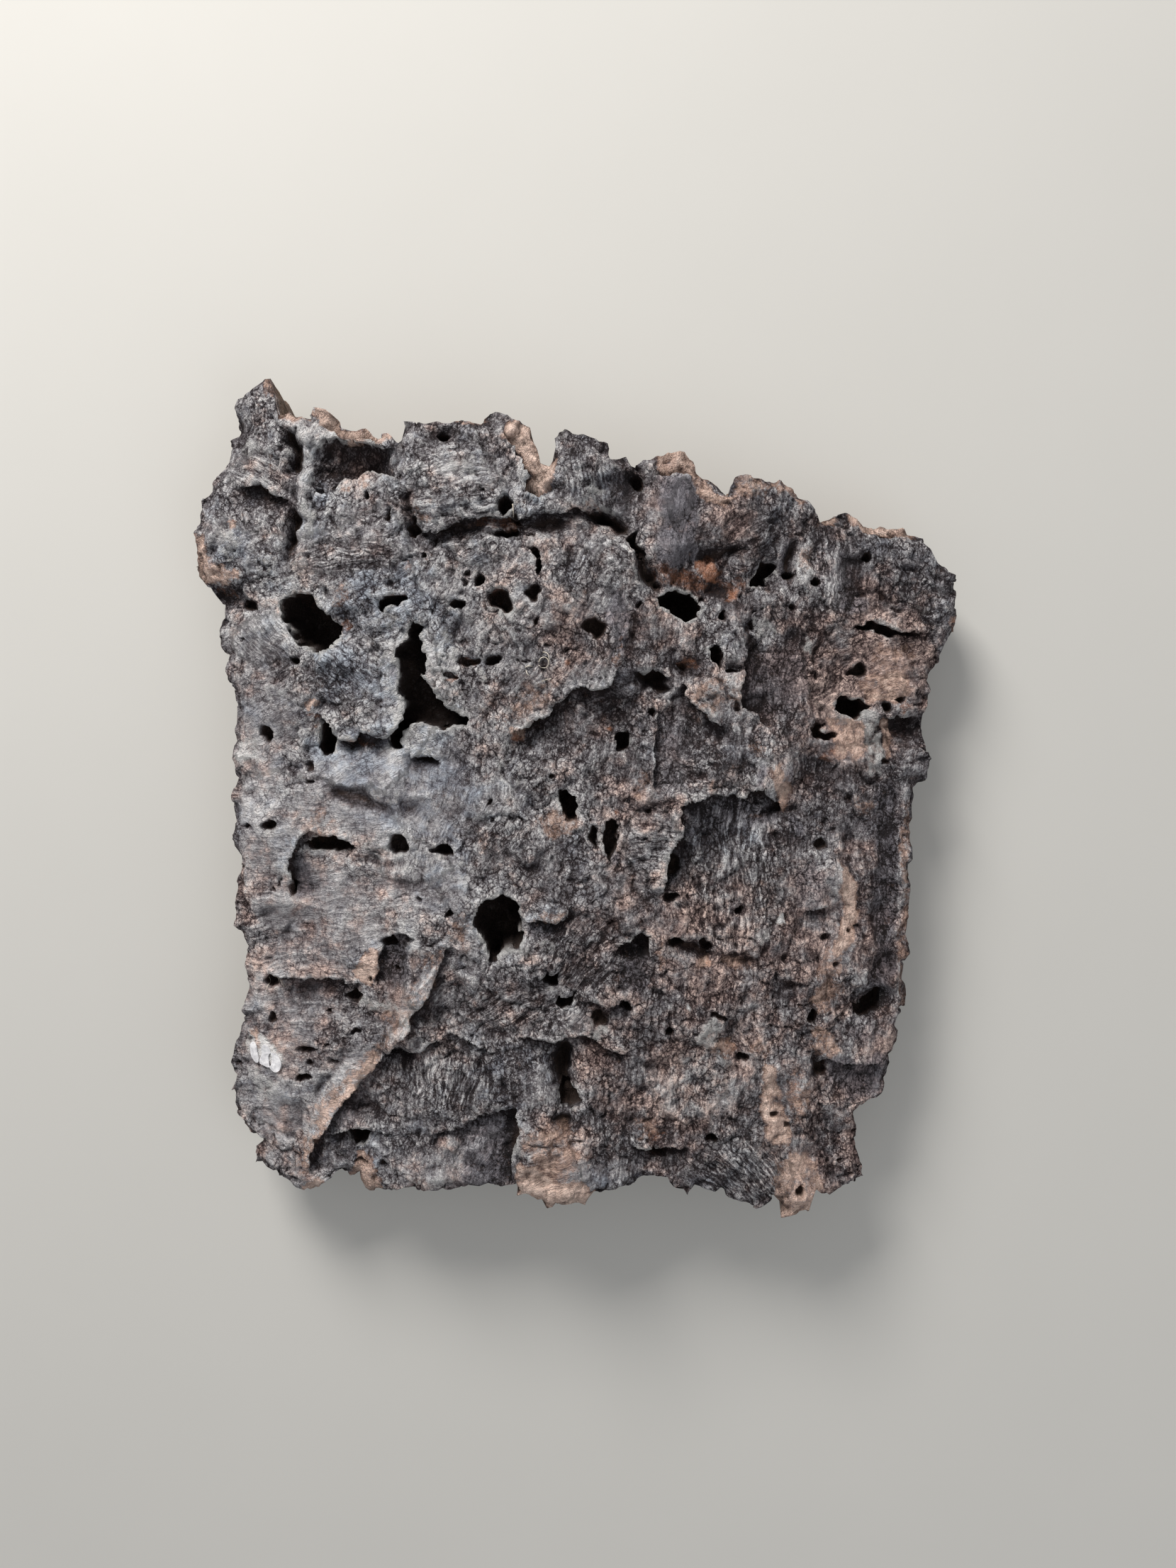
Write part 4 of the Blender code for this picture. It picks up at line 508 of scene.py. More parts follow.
# Fine parallel lines: oval, direction that the lines run in degrees from X, and strength.
linedAreas = [
    (-100, -60, 50, 60, 4, 0.3), (-85, 60, 50, 50, 28, 0.25), (-100, 125, 30, 30, 70, 0.3),
    (-25, 80, 45, 60, 60, 0.28), (-20, 0, 45, 45, 78, 0.3), (-45, -110, 45, 45, 82, 0.3),
    (70, 60, 60, 70, 86, 0.34), (80, -60, 60, 110, 90, 0.36), (25, -110, 40, 50, 84, 0.32),
    (110, 50, 40, 30, 20, 0.37), (57, -28, 19, 34, 90, 0.9), (93, 88, 7, 18, 88, 0.9),
    (4, 117, 9, 14, 96, 0.8), (2, -60, 16, 15, 58, 0.9), (-28, -12, 9, 10, 55, 0.8),
    (62, -146, 20, 14, -48, 1.0), (-50, -108, 26, 13, 84, 0.9), (-44, 112, 18, 20, 8, 0.7),
    (-20, -80, 26, 7, 30, 0.8), (45, 12, 8, 12, 0, 0.5), (45, 33, 6, 5, -50, 0.5),
    (-84, 90, 20, 6, 4, 0.8), (-85, 50, 14, 12, -35, 0.6), (42, -108, 16, 18, 75, 0.6),
    (28, -20, 10, 18, 0, 0.5), (-12, -140, 12, 14, 15, 0.7), (-55, -72, 10, 14, 60, 0.6),
    (16, -62, 6, 12, 70, 0.5), (10, 34, 9, 6, 20, 0.5), (-20, 15, 12, 14, 62, 0.5),
    (-116, 122, 14, 7, -20, 0.7), (-95, 124, 7, 9, 60, 0.7), (-36, 92, 10, 5, 25, 0.6),
    (15, 92, 9, 6, -35, 0.6), (64, 98, 12, 10, 40, 0.6), (103, -112, 12, 6, 80, 0.6),
    (-98, 136, 6, 5, 60, 0.6), (-20, 101, 24, 4, -4, 0.8), (0, 84, 8, 9, 70, 0.5),
    (100, 60, 14, 7, 12, 0.5), (-38, -140, 12, 12, 70, 0.5), (55, 56, 5, 10, 80, 0.4),
    (-62, -24, 16, 8, 80, 0.4), (-116, 60, 14, 10, -50, 0.5), (-60, 118, 8, 8, 30, 0.5),
    (38, 104, 6, 14, 90, 0.25),
]


def patchNoise(x, y, size, seed):
    table = np.random.default_rng(seed).random((64, 64)) * 2 - 1
    gx, gy = x / size, y / size
    bx, by = np.floor(gx).astype(int), np.floor(gy).astype(int)
    fx, fy = gx - bx, gy - by
    fx, fy = fx * fx * (3 - 2 * fx), fy * fy * (3 - 2 * fy)
    low = table[bx % 64, by % 64] * (1 - fx) + table[(bx + 1) % 64, by % 64] * fx
    high = table[bx % 64, (by + 1) % 64] * (1 - fx) + table[(bx + 1) % 64, (by + 1) % 64] * fx
    return low * (1 - fy) + high * fy


def layeredNoise(x, y, size, seed, layers):
    total, strength = np.zeros_like(x), 1.0
    for layer in range(layers):
        total += strength * patchNoise(x + 17.3 * layer, y - 9.1 * layer, size, seed + layer)
        size *= 0.47
        strength *= 0.5
    return total


def ramp(value, low, high):
    share = np.clip((value - low) / (high - low), 0, 1)
    return share * share * (3 - 2 * share)


def nearestOnLine(x, y, points):
    best = np.full(x.shape, 1e9)
    side, walked = np.ones(x.shape), np.zeros(x.shape)
    normX, normY, awayX, awayY = (np.zeros(x.shape) for _ in range(4))
    before = 0.0
    for (ax, ay), (bx, by) in zip(points[:-1], points[1:]):
        dx, dy = bx - ax, by - ay
        length = math.hypot(dx, dy)
        share = np.clip(((x - ax) * dx + (y - ay) * dy) / length ** 2, 0, 1)
        offX, offY = x - ax - share * dx, y - ay - share * dy
        distance = np.hypot(offX, offY)
        near = distance < best
        best = np.where(near, distance, best)
        side = np.where(near, np.sign(dx * offY - dy * offX + 1e-12), side)
        walked = np.where(near, before + share * length, walked)
        normX, normY = np.where(near, -dy / length, normX), np.where(near, dx / length, normY)
        awayX, awayY = np.where(near, offX, awayX), np.where(near, offY, awayY)
        before += length
    return best, side, walked, before, (normX, normY), (awayX, awayY)


def insideOutline(x, y, points):
    loop = points + points[:1]
    distance, _, _, _, _, away = nearestOnLine(x, y, loop)
    inside = np.zeros(x.shape, bool)
    for (ax, ay), (bx, by) in zip(loop[:-1], loop[1:]):
        if ay != by:
            inside ^= ((ay > y) != (by > y)) & (x < (bx - ax) * (y - ay) / (by - ay) + ax)
    return np.where(inside, distance, -distance), away


def nearby(x, y, points, margin):
    xs, ys = [p[0] for p in points], [p[1] for p in points]
    return (x > min(xs) - margin) & (x < max(xs) + margin) & (y > min(ys) - margin) & (y < max(ys) + margin)


def crownAt(x):
    return slab["crown"] - slab["crownDrop"] * (x / slab["halfWidth"]) ** 2


def ridged(x, y, size, seed, layers, fade=0.55):
    # sharp crests between rounded hollows, about 0 on average
    total, strength = np.zeros_like(x), 1.0
    for layer in range(layers):
        crest = 1 - np.abs(patchNoise(x + 31 * layer, y + 7 * layer, size, seed + layer))
        total += strength * (crest ** 3 - 0.38)
        size *= 0.5
        strength *= fade
    return total


def flowField(x, y):
    # where fine lines run: how strong, and the place across and along them
    strength, across, along = np.zeros_like(x), np.zeros_like(x), np.zeros_like(x)
    bend = layeredNoise(x, y, 22, 99, 3)
    sway = layeredNoise(x, y, 15, 103, 2)
    for cx, cy, rx, ry, turn, amount in linedAreas:
        here = paint(x, y, [(cx, cy, rx, ry, 0, amount)], 2)
        angle = math.radians(turn)
        stronger = here > strength
        dx, dy = x - cx, y - cy
        across = np.where(stronger, dy * math.cos(angle) - dx * math.sin(angle) + 2.2 * bend, across)
        along = np.where(stronger, dx * math.cos(angle) + dy * math.sin(angle) + 2.2 * sway, along)
        strength = np.maximum(strength, here)
    return strength, across, along


def outerBark(x, y, smoothness, flow):
    # height of the bark, sideways push at overhangs, layer depth, how deep in a cave it lies (mask for
    # painted shade in holes, furrows and under lips), and the lips' painted shade below them with painted
    # highlight on their crests
    height = crownAt(x) + 2.0 * patchNoise(x, y, 47, 3) + 1.2 * layeredNoise(x, y, 15, 11, 3)
    height += 1.5 * ridged(x + 3 * patchNoise(x, y, 12, 13), y + 3 * patchNoise(x, y, 12, 15), 27, 17, 2)
    # torn layers: broad swells cut into steps
    swell = 3.2 * layeredNoise(x * 1.25, y * 0.9, 24, 107, 4)
    step = 1.5 + 0.5 * patchNoise(x, y, 33, 109)
    steps = (np.floor(swell / step) + ramp(swell / step % 1, 0.40, 0.62)) * step
    height += steps * 0.6 * (1 - 0.8 * smoothness)
    wx = x + 1.5 * layeredNoise(x, y, 8, 21, 4)
    wy = y + 1.5 * layeredNoise(x, y, 8, 31, 4)
    pushX, pushY, cave, shade = (np.zeros_like(x) for _ in range(4))
    for cx, cy, rx, ry, turn, lift in humps:
        angle = math.radians(turn)
        across = ((x - cx) * math.cos(angle) + (y - cy) * math.sin(angle)) / rx
        along = ((y - cy) * math.cos(angle) - (x - cx) * math.sin(angle)) / ry
        height += lift * np.exp(-(across ** 2 + along ** 2) ** 1.5)
    for points, drop, reach in lips:
        near = nearby(wx, wy, points, reach * 3.2)
        distance, side, walked, whole, normal, _ = nearestOnLine(wx[near], wy[near], points)
        signed = distance * side
        ends = ramp(walked, 0, 5) * ramp(whole - walked, 0, 5) * (distance < reach * 3)
        ends *= 0.82 + 0.5 * patchNoise(walked, walked * 0 + drop, 8, 111)
        share = ramp(signed, -slab["soft"], slab["soft"])
        below, above = np.maximum(-signed, 0), np.maximum(signed, 0)
        fall, rise = -drop * 0.85 * np.exp(-below / reach), drop * 0.32 * np.exp(-above / 5)
        height[near] += ends * (fall * (1 - share) + rise * share)
        push = ends * drop * (0.3 * (1 - share) * np.exp(-below / 2.4) - 0.2 * share * np.exp(-above / 1.8))
        pushX[near] += push * normal[0]
        pushY[near] += push * normal[1]
        # painted shade in the hollow under the lip, painted highlight along its crest
        cave[near] = np.maximum(cave[near], ends * (1 - share) * np.exp(-below / 2.6) * drop / 9)
        dark = (1 - share) * np.exp(-below / (1.5 + reach * 0.3)) * 0.42
        shade[near] += ends * min(drop / 7, 1.2) * (0.34 * share * np.exp(-above / 2.6) - dark)
    for points, half, lift in runs:
        near = nearby(wx, wy, points, half * 2.6)
        distance, _, walked, whole, _, _ = nearestOnLine(wx[near], wy[near], points)
        ends = 0.25 + 0.75 * ramp(walked, 0, 4) * ramp(whole - walked, 0, 4)
        ends *= 0.75 + 0.7 * patchNoise(walked, walked * 0 + lift, 7, 113)
        bump = ends * np.exp(-(distance / half) ** 2)
        height[near] += lift * bump
        # deep furrows also feed the mask for painted shade
        if lift < -2:
            cave[near] = np.maximum(cave[near], np.exp(-(distance / half * 1.9) ** 2) * ends * -lift / 7)
    hx = x + 1.3 * layeredNoise(x, y, 5, 23, 3)
    hy = y + 1.3 * layeredNoise(x, y, 5, 33, 3)
    for points, depth in pits:
        near = nearby(hx, hy, points, 5)
        within, away = insideOutline(hx[near], hy[near], points)
        floorRough = 1 + 0.16 * layeredNoise(x[near], y[near], 7, 35, 2)
        height[near] -= depth * floorRough * ramp(within, -0.4, 0.7 + depth * 0.07)
        inner = np.where(within > 0, np.exp(-np.abs(within) / 2.5) * depth * 0.12,
                         np.exp(within / 1.3) * 0.8)
        pushX[near] -= away[0] / (np.abs(within) + 0.3) * inner
        pushY[near] -= away[1] / (np.abs(within) + 0.3) * inner
        # mask for painted shade inside the pit
        cave[near] = np.maximum(cave[near], ramp(within, -0.25, 1.1))
    for cx, cy, rx, ry, depth in holes + tinyHoles:
        reach = np.hypot((hx - cx) / rx, (hy - cy) / ry)
        height -= depth * ramp(-reach, -1.1, -0.65)
        # mask for painted shade inside the hole
        cave = np.maximum(cave, ramp(-reach, -1.05, -0.75) * min(1, depth / 5))
    layer = height - crownAt(x)
    # crags, crumble, cracks and pores between the big forms
    lined, acrossLines, alongLines = flow
    rough = 1 - 0.72 * smoothness
    crag = ridged(wx, wy, 11.5, 71, 4, 0.5) * (1 - 0.5 * lined)
    crag *= 0.75 + 0.5 * patchNoise(x, y, 31, 83)
    streak = ridged(acrossLines, alongLines * 0.25, 3.6, 81, 2, 0.6) * (0.3 + 0.7 * lined)
    cracks = 1.5 * np.exp(-(patchNoise(wx * 1.1, wy, 8.5, 75) / 0.06) ** 2)
    cracks *= ramp(patchNoise(x, y, 21, 79), -0.5, 0.3)
    pores = ramp(patchNoise(hx, hy, 3.1, 77), 0.42, 0.7)
    crumble = 0.32 * layeredNoise(x, y, 3.4, 78, 2)
    height += rough * (crag + streak + crumble - cracks - pores)
    pushX += rough * 0.5 * patchNoise(x, y, 2.6, 87)
    pushY += rough * 0.5 * patchNoise(x, y, 2.6, 89)
    return height, pushX, pushY, layer, cave, shade


def innerSide(x, y):
    height = slab["belly"] - slab["bellyDrop"] * (x / 126.0) ** 2
    height = height + patchNoise(x, y, 36, 41) + 0.6 * layeredNoise(x * 2.2, y * 0.7, 16, 43, 2)
    height = np.maximum(height, 1.0)
    height += 0.35 * layeredNoise(x * 1.6, y * 0.5, 4.0, 45, 2) * ramp(height, 1, 4)
    for cx, cy, radius in restSpots:
        height = height * ramp(np.hypot(x - cx, y - cy), radius * 0.75, radius * 2.2)
    return height


def smoothed(values, width):
    steps = np.arange(-width, width + 1)
    weights = np.cos(steps / (width + 1) * np.pi / 2) ** 2
    line = np.linspace(values[0], values[-1], len(values))
    rest = values - line
    padded = np.concatenate([-rest[width:0:-1], rest, -rest[-2:-width - 2:-1]])
    return line + np.convolve(padded, weights / weights.sum(), "valid")


def slabPlan(u, v):
    # a sheet stretched between the four edges; their jags fade out inwards
    t = np.linspace(0, 1, 801)
    corner = {"bl": bottomRim[0], "br": bottomRim[-1], "tl": topRim[0], "tr": topRim[-1]}
    sides = (("bottom", bottomRim, 0, "bl", "br", u), ("top", topRim, 0, "tl", "tr", u),
             ("left", leftRim, 1, "bl", "tl", v), ("right", rightRim, 1, "br", "tr", v))
    edges = {}
    for name, points, key, start, end, at in sides:
        array = np.array(points, float)
        run = corner[start][key] + (corner[end][key] - corner[start][key]) * t
        value = np.interp(run, array[:, key], array[:, 1 - key])
        slow = smoothed(value, 60)
        pair = (np.interp(at, t, run), np.interp(at, t, slow))
        edges[name] = (pair if key == 0 else pair[::-1], np.interp(at, t, value - slow))
    (bx, by), bottomJag = edges["bottom"]
    (tx, ty), topJag = edges["top"]
    (lx, ly), leftJag = edges["left"]
    (rx, ry), rightJag = edges["right"]
    px = (1 - v) * bx + v * tx + (1 - u) * lx + u * rx
    py = (1 - v) * by + v * ty + (1 - u) * ly + u * ry
    for name, wu, wv in (("bl", 1 - u, 1 - v), ("br", u, 1 - v), ("tl", 1 - u, v), ("tr", u, v)):
        px, py = px - corner[name][0] * wu * wv, py - corner[name][1] * wu * wv
    wide, long, reach = slab["sheetWide"], slab["sheetLong"], slab["edgeReach"]
    px += leftJag * np.exp(-u * wide / reach) + rightJag * np.exp(-(1 - u) * wide / reach)
    py += bottomJag * np.exp(-v * long / reach) + topJag * np.exp(-(1 - v) * long / reach)
    return px, py


def blurred(field, radius):
    # box average over a square of cells, run twice
    for axis in (0, 1, 0, 1):
        padded = np.concatenate([np.repeat(field.take([0], axis), radius + 1, axis), field,
                                 np.repeat(field.take([-1], axis), radius, axis)], axis)
        total = np.cumsum(padded, axis)
        size = field.shape[axis]
        low = total.take(range(0, size), axis)
        high = total.take(range(2 * radius + 1, 2 * radius + 1 + size), axis)
        field = (high - low) / (2 * radius + 1)
    return field


def paint(x, y, patches, edge, join=np.maximum):
    # outlined or oval patches, each with a strength, the strongest kept or all of them added up
    total = np.zeros_like(x)
    wx = x + 1.6 * layeredNoise(x, y, 6, 81, 3)
    wy = y + 1.6 * layeredNoise(x, y, 6, 85, 3)
    for patch in patches:
        if isinstance(patch[0], list):
            points, strength = patch
            near = nearby(wx, wy, points, edge * 2)
            within, _ = insideOutline(wx[near], wy[near], points)
            total[near] = join(total[near], strength * ramp(within, -edge, edge))
        else:
            cx, cy, rx, ry, turn, strength = patch
            angle = math.radians(turn)
            across = ((wx - cx) * math.cos(angle) + (wy - cy) * math.sin(angle)) / rx
            along = ((wy - cy) * math.cos(angle) - (wx - cx) * math.sin(angle)) / ry
            total = join(total, strength * ramp(-np.hypot(across, along), -1.25, -0.6))
    return total


def gridBlock(name, across, along, rows):
    # a flat grid pulled up row by row into a closed block one unit wide, long and high
    bpy.ops.object.select_all(action="DESELECT")
    bpy.ops.mesh.primitive_grid_add(x_subdivisions=across, y_subdivisions=along, size=1)
    block = bpy.context.object
    block.name = block.data.name = name
    bpy.ops.object.mode_set(mode="EDIT")
    bpy.ops.mesh.select_all(action="SELECT")
    for _ in range(rows):
        bpy.ops.mesh.extrude_region_move(TRANSFORM_OT_translate={"value": (0, 0, 1 / rows)})
    bpy.ops.mesh.select_all(action="SELECT")
    bpy.ops.mesh.normals_make_consistent(inside=False)
    bpy.ops.object.mode_set(mode="OBJECT")
    return block


def readPoints(mesh):
    flat = np.empty(len(mesh.vertices) * 3)
    mesh.vertices.foreach_get("co", flat)
    return flat.reshape(-1, 3)


def keepField(mesh, name, values):
    layer = mesh.attributes.new(name, "FLOAT", "POINT")
    layer.data.foreach_set("value", np.ascontiguousarray(values, dtype=np.float32))


across, along, rows = slab["across"], slab["along"], slab["rows"]
slabPiece = gridBlock("corkSlab", across, along, rows)
slabMesh = slabPiece.data
coords = readPoints(slabMesh)
col = np.rint((coords[:, 0] + 0.5) * across).astype(int)
row = np.rint((coords[:, 1] + 0.5) * along).astype(int)
level = np.clip(coords[:, 2], 0, 1)
print("block made", len(slabMesh.vertices))

# everything below is worked out on the sheet of grid points
gridU, gridV = np.meshgrid(np.linspace(0, 1, across + 1), np.linspace(0, 1, along + 1), indexing="ij")
planX, planY = slabPlan(gridU, gridV)
slate = paint(planX, planY, slateSkin, 2.2)
calm = paint(planX, planY, calmAreas, 5)
flow = flowField(planX, planY)
lined, lineAcross, lineAlong = flow
barkZ, pushX, pushY, layerZ, cave, shade = outerBark(planX, planY, np.maximum(slate, 0.8 * calm), flow)
wide, long, reach = slab["sheetWide"], slab["sheetLong"], slab["edgeReach"]
rimDistance = np.minimum(np.minimum(gridU, 1 - gridU) * wide, np.minimum(gridV, 1 - gridV) * long)
nearRim = 1 - ramp(rimDistance, 0, 5)
barkZ = barkZ - 2.4 * nearRim * (0.8 + 0.9 * patchNoise(planX, planY, 7, 91))
pushX += nearRim * 1.5 * layeredNoise(planX, planY, 5, 101, 3)
pushY += nearRim * 1.5 * layeredNoise(planX, planY, 5, 105, 3)
towardsX = np.exp(-gridU * wide / reach) + np.exp((gridU - 1) * wide / reach)
towardsY = np.exp(-gridV * long / reach) + np.exp((gridV - 1) * long / reach)
innerX = planX * (1 - slab["inset"][0] * towardsX)
innerY = planY * (1 - slab["inset"][1] * towardsY)
innerZ = innerSide(innerX, innerY)
barkZ = np.maximum(barkZ, np.maximum(innerZ, innerSide(planX, planY)) + slab["leastCork"])
print("relief ready")

# the broken edge steps in and out between its rows, in layers
x0, y0 = planX[col, row], planY[col, row]
strata = layeredNoise(x0 + 40 * level, y0 - 30 * level, 9, 61, 2)
strata += 0.5 * patchNoise(x0 + 90 * level, y0 - 70 * level, 4, 65)
share = np.clip(level ** 0.7 + 0.42 * strata * np.sin(np.pi * level), 0, 1)
lift = pushX[col, row] * level ** 3, pushY[col, row] * level ** 3
z0, z1 = innerZ[col, row], barkZ[col, row]
placed = np.stack([innerX[col, row] + (x0 - innerX[col, row]) * share + lift[0] + slab["shift"][0],
                   innerY[col, row] + (y0 - innerY[col, row]) * share + lift[1] + slab["shift"][1],
                   z0 + (z1 - z0) * level], 1) * mm

# kept inside the frame's own box
for axis in range(3):
    low, high = cadLow[axis], cadHigh[axis]
    least, most = placed[:, axis].min(), placed[:, axis].max()
    if axis == 2:
        placed[:, 2] = np.clip(placed[:, 2], 0.00002, high - 0.0001)
    elif least < low or most > high:
        middle, half = (low + high) / 2, (high - low) / 2 - 0.0002
        reach = max(most - middle, middle - least)
        placed[:, axis] = middle + (placed[:, axis] - middle) * half / reach
slabMesh.vertices.foreach_set("co", placed.ravel())
slabMesh.update()
print("block shaped", placed.min(0) * 1000, placed.max(0) * 1000)

# masks for the bark's colours, one value a grid point
# tone: the lips' painted shade and painted highlight, the tones table with its painted shade in furrows and
# hollows, and random lightness
tone = shade + paint(planX, planY, tonesAndShade, 3, np.add) + 0.16 * layeredNoise(planX, planY, 24, 93, 3)
warm = paint(planX, planY, warmths, 4, np.add) + 0.25 * layeredNoise(planX, planY, 19, 97, 3)
fresh = paint(planX, planY, freshCork, 1.1)
rust = paint(planX, planY, rustCork, 1.3)
crust = paint(planX, planY, lichen, 1.4)
# dips at two widths: masks for painted shade in hollows and painted highlight on rises
dip = blurred(barkZ, 2) - barkZ
dipWide = blurred(barkZ, 7) - barkZ
fields = {
    "tone": tone, "warm": warm, "fresh": fresh, "rust": rust, "slate": slate, "crust": crust,
    "cave": cave, "calm": calm, "dip": dip, "dipWide": dipWide,
    "lined": lined, "lineAcross": lineAcross, "lineAlong": lineAlong,
}
for name, field in fields.items():
    keepField(slabMesh, name, field[col, row])
onRim = (col == 0) | (col == across) | (row == 0) | (row == along)
keepField(slabMesh, "layer", layerZ[col, row] - (1 - level) * (z1 - z0))
keepField(slabMesh, "wall", np.where(onRim, np.sin(np.pi * np.clip(level, 0, 1)) ** 0.5, 0))
keepField(slabMesh, "under", 1 - level)
print("masks ready")

# the picture map: bark over most of the sheet, inner side small at its right, the broken edge in four strips
uvLayer = slabMesh.uv_layers.new(name="OFBake")
slabMesh.uv_layers.active = uvLayer
slabMesh.uv_layers.active.active_render = True
loops = np.empty(len(slabMesh.loops), int)
slabMesh.loops.foreach_get("vertex_index", loops)
faceSize = np.empty(len(slabMesh.polygons), int)
slabMesh.polygons.foreach_get("loop_total", faceSize)
faceOf = np.repeat(np.arange(len(faceSize)), faceSize)
lu, lv, lw = col[loops] / across, row[loops] / along, level[loops]


def faceMean(values):
    return (np.bincount(faceOf, values) / faceSize)[faceOf]


fu, fv, fw = faceMean(lu), faceMean(lv), faceMean(lw)
mapU, mapV = 0.01 + 0.70 * lu, 0.01 + 0.772 * lv  # bark
below = fw < 1e-6
mapU = np.where(below, 0.72 + 0.27 * (1 - lu), mapU)
mapV = np.where(below, 0.01 + 0.30 * lv, mapV)
middle = (fw > 1e-6) & (fw < 1 - 1e-6)
wallSides = ((fu < 1e-6, lv), (fu > 1 - 1e-6, lv), (fv < 1e-6, lu), (fv > 1 - 1e-6, lu))
for strip, (hit, run) in enumerate(wallSides):
    hit = hit & middle
    mapU = np.where(hit, 0.01 + 0.70 * run, mapU)
    mapV = np.where(hit, 0.795 + 0.05 * strip + 0.045 * lw, mapV)
uvLayer.data.foreach_set("uv", np.ascontiguousarray(np.stack([mapU, mapV], 1), dtype=np.float32).ravel())

thin = slabPiece.modifiers.new("thin", "DECIMATE")
thin.ratio = slab["faces"] / (2 * len(slabMesh.polygons))
bpy.context.view_layer.objects.active = slabPiece
bpy.ops.object.modifier_apply(modifier=thin.name)
for face in slabPiece.data.polygons:
    face.use_smooth = True
print("slab thinned", len(slabPiece.data.polygons))


# shader helpers
def calc(tree, kind, *values, clamp=False):
    step = tree.nodes.new("ShaderNodeMath")
    step.operation, step.use_clamp = kind, clamp
    for socket, value in zip(step.inputs, values):
        plug(tree, socket, value)
    return step.outputs[0]


def plug(tree, socket, value):
    if isinstance(value, bpy.types.NodeSocket):
        tree.links.new(value, socket)
    else:
        socket.default_value = value


def stretch(tree, value, low, high, toLow=0.0, toHigh=1.0):
    step = tree.nodes.new("ShaderNodeMapRange")
    step.interpolation_type = "SMOOTHSTEP"
    for socket, part in zip(step.inputs, (value, low, high, toLow, toHigh)):
        plug(tree, socket, part)
    return step.outputs[0]


def blend(tree, factor, first, second, kind="MIX"):
    step = tree.nodes.new("ShaderNodeMix")
    step.data_type, step.blend_type, step.clamp_factor = "RGBA", kind, True
    plug(tree, step.inputs[0], factor)
    for socket, colour in ((step.inputs[6], first), (step.inputs[7], second)):
        plug(tree, socket, colour if isinstance(colour, bpy.types.NodeSocket) else (*colour, 1))
    return step.outputs[2]


def blendValue(tree, factor, first, second):
    step = tree.nodes.new("ShaderNodeMix")
    for socket, value in ((step.inputs[0], factor), (step.inputs[2], first), (step.inputs[3], second)):
        plug(tree, socket, value)
    return step.outputs[0]


def scaled(tree, vector, x, y, z):
    step = tree.nodes.new("ShaderNodeVectorMath")
    step.operation = "MULTIPLY"
    plug(tree, step.inputs[0], vector)
    step.inputs[1].default_value = (x, y, z)
    return step.outputs[0]


def speckle(tree, vector, scale, detail=4.0, rough=0.55, twist=0.0):
    step = tree.nodes.new("ShaderNodeTexNoise")
    plug(tree, step.inputs["Vector"], vector)
    for name, value in (("Scale", scale), ("Detail", detail), ("Roughness", rough), ("Distortion", twist)):
        step.inputs[name].default_value = value
    return step.outputs[0]


def plates(tree, vector, scale, bend, width):
    # 0 in the thin crooked cracks between small plates, 1 on the plates
    wander = tree.nodes.new("ShaderNodeTexNoise")
    plug(tree, wander.inputs["Vector"], vector)
    wander.inputs["Scale"].default_value = scale * 1.3
    wander.inputs["Detail"].default_value = 4.0
    warp = tree.nodes.new("ShaderNodeVectorMath")
    warp.operation = "MULTIPLY_ADD"
    plug(tree, warp.inputs[0], wander.outputs[1])
    warp.inputs[1].default_value = (bend, bend, bend)
    plug(tree, warp.inputs[2], vector)
    step = tree.nodes.new("ShaderNodeTexVoronoi")
    step.feature = "DISTANCE_TO_EDGE"
    plug(tree, step.inputs["Vector"], warp.outputs[0])
    step.inputs["Scale"].default_value = scale
    return stretch(tree, step.outputs[0], 0.0, width)


def joined(tree, x, y, z):
    step = tree.nodes.new("ShaderNodeCombineXYZ")
    for socket, value in zip(step.inputs, (x, y, z)):
        plug(tree, socket, value)
    return step.outputs[0]


def startGroup(name, ins, outs):
    tree = bpy.data.node_groups.new(name, "ShaderNodeTree")
    for label, kind in ins:
        tree.interface.new_socket(name=label, in_out="INPUT", socket_type="NodeSocket" + kind)
    for label, kind in outs:
        tree.interface.new_socket(name=label, in_out="OUTPUT", socket_type="NodeSocket" + kind)
    return tree, tree.nodes.new("NodeGroupInput").outputs, tree.nodes.new("NodeGroupOutput").inputs


def lifted(tree, base, source, centre, amount):
    # base plus how far source stands over centre, times amount
    return calc(tree, "MULTIPLY_ADD", calc(tree, "SUBTRACT", source, centre), amount, base)


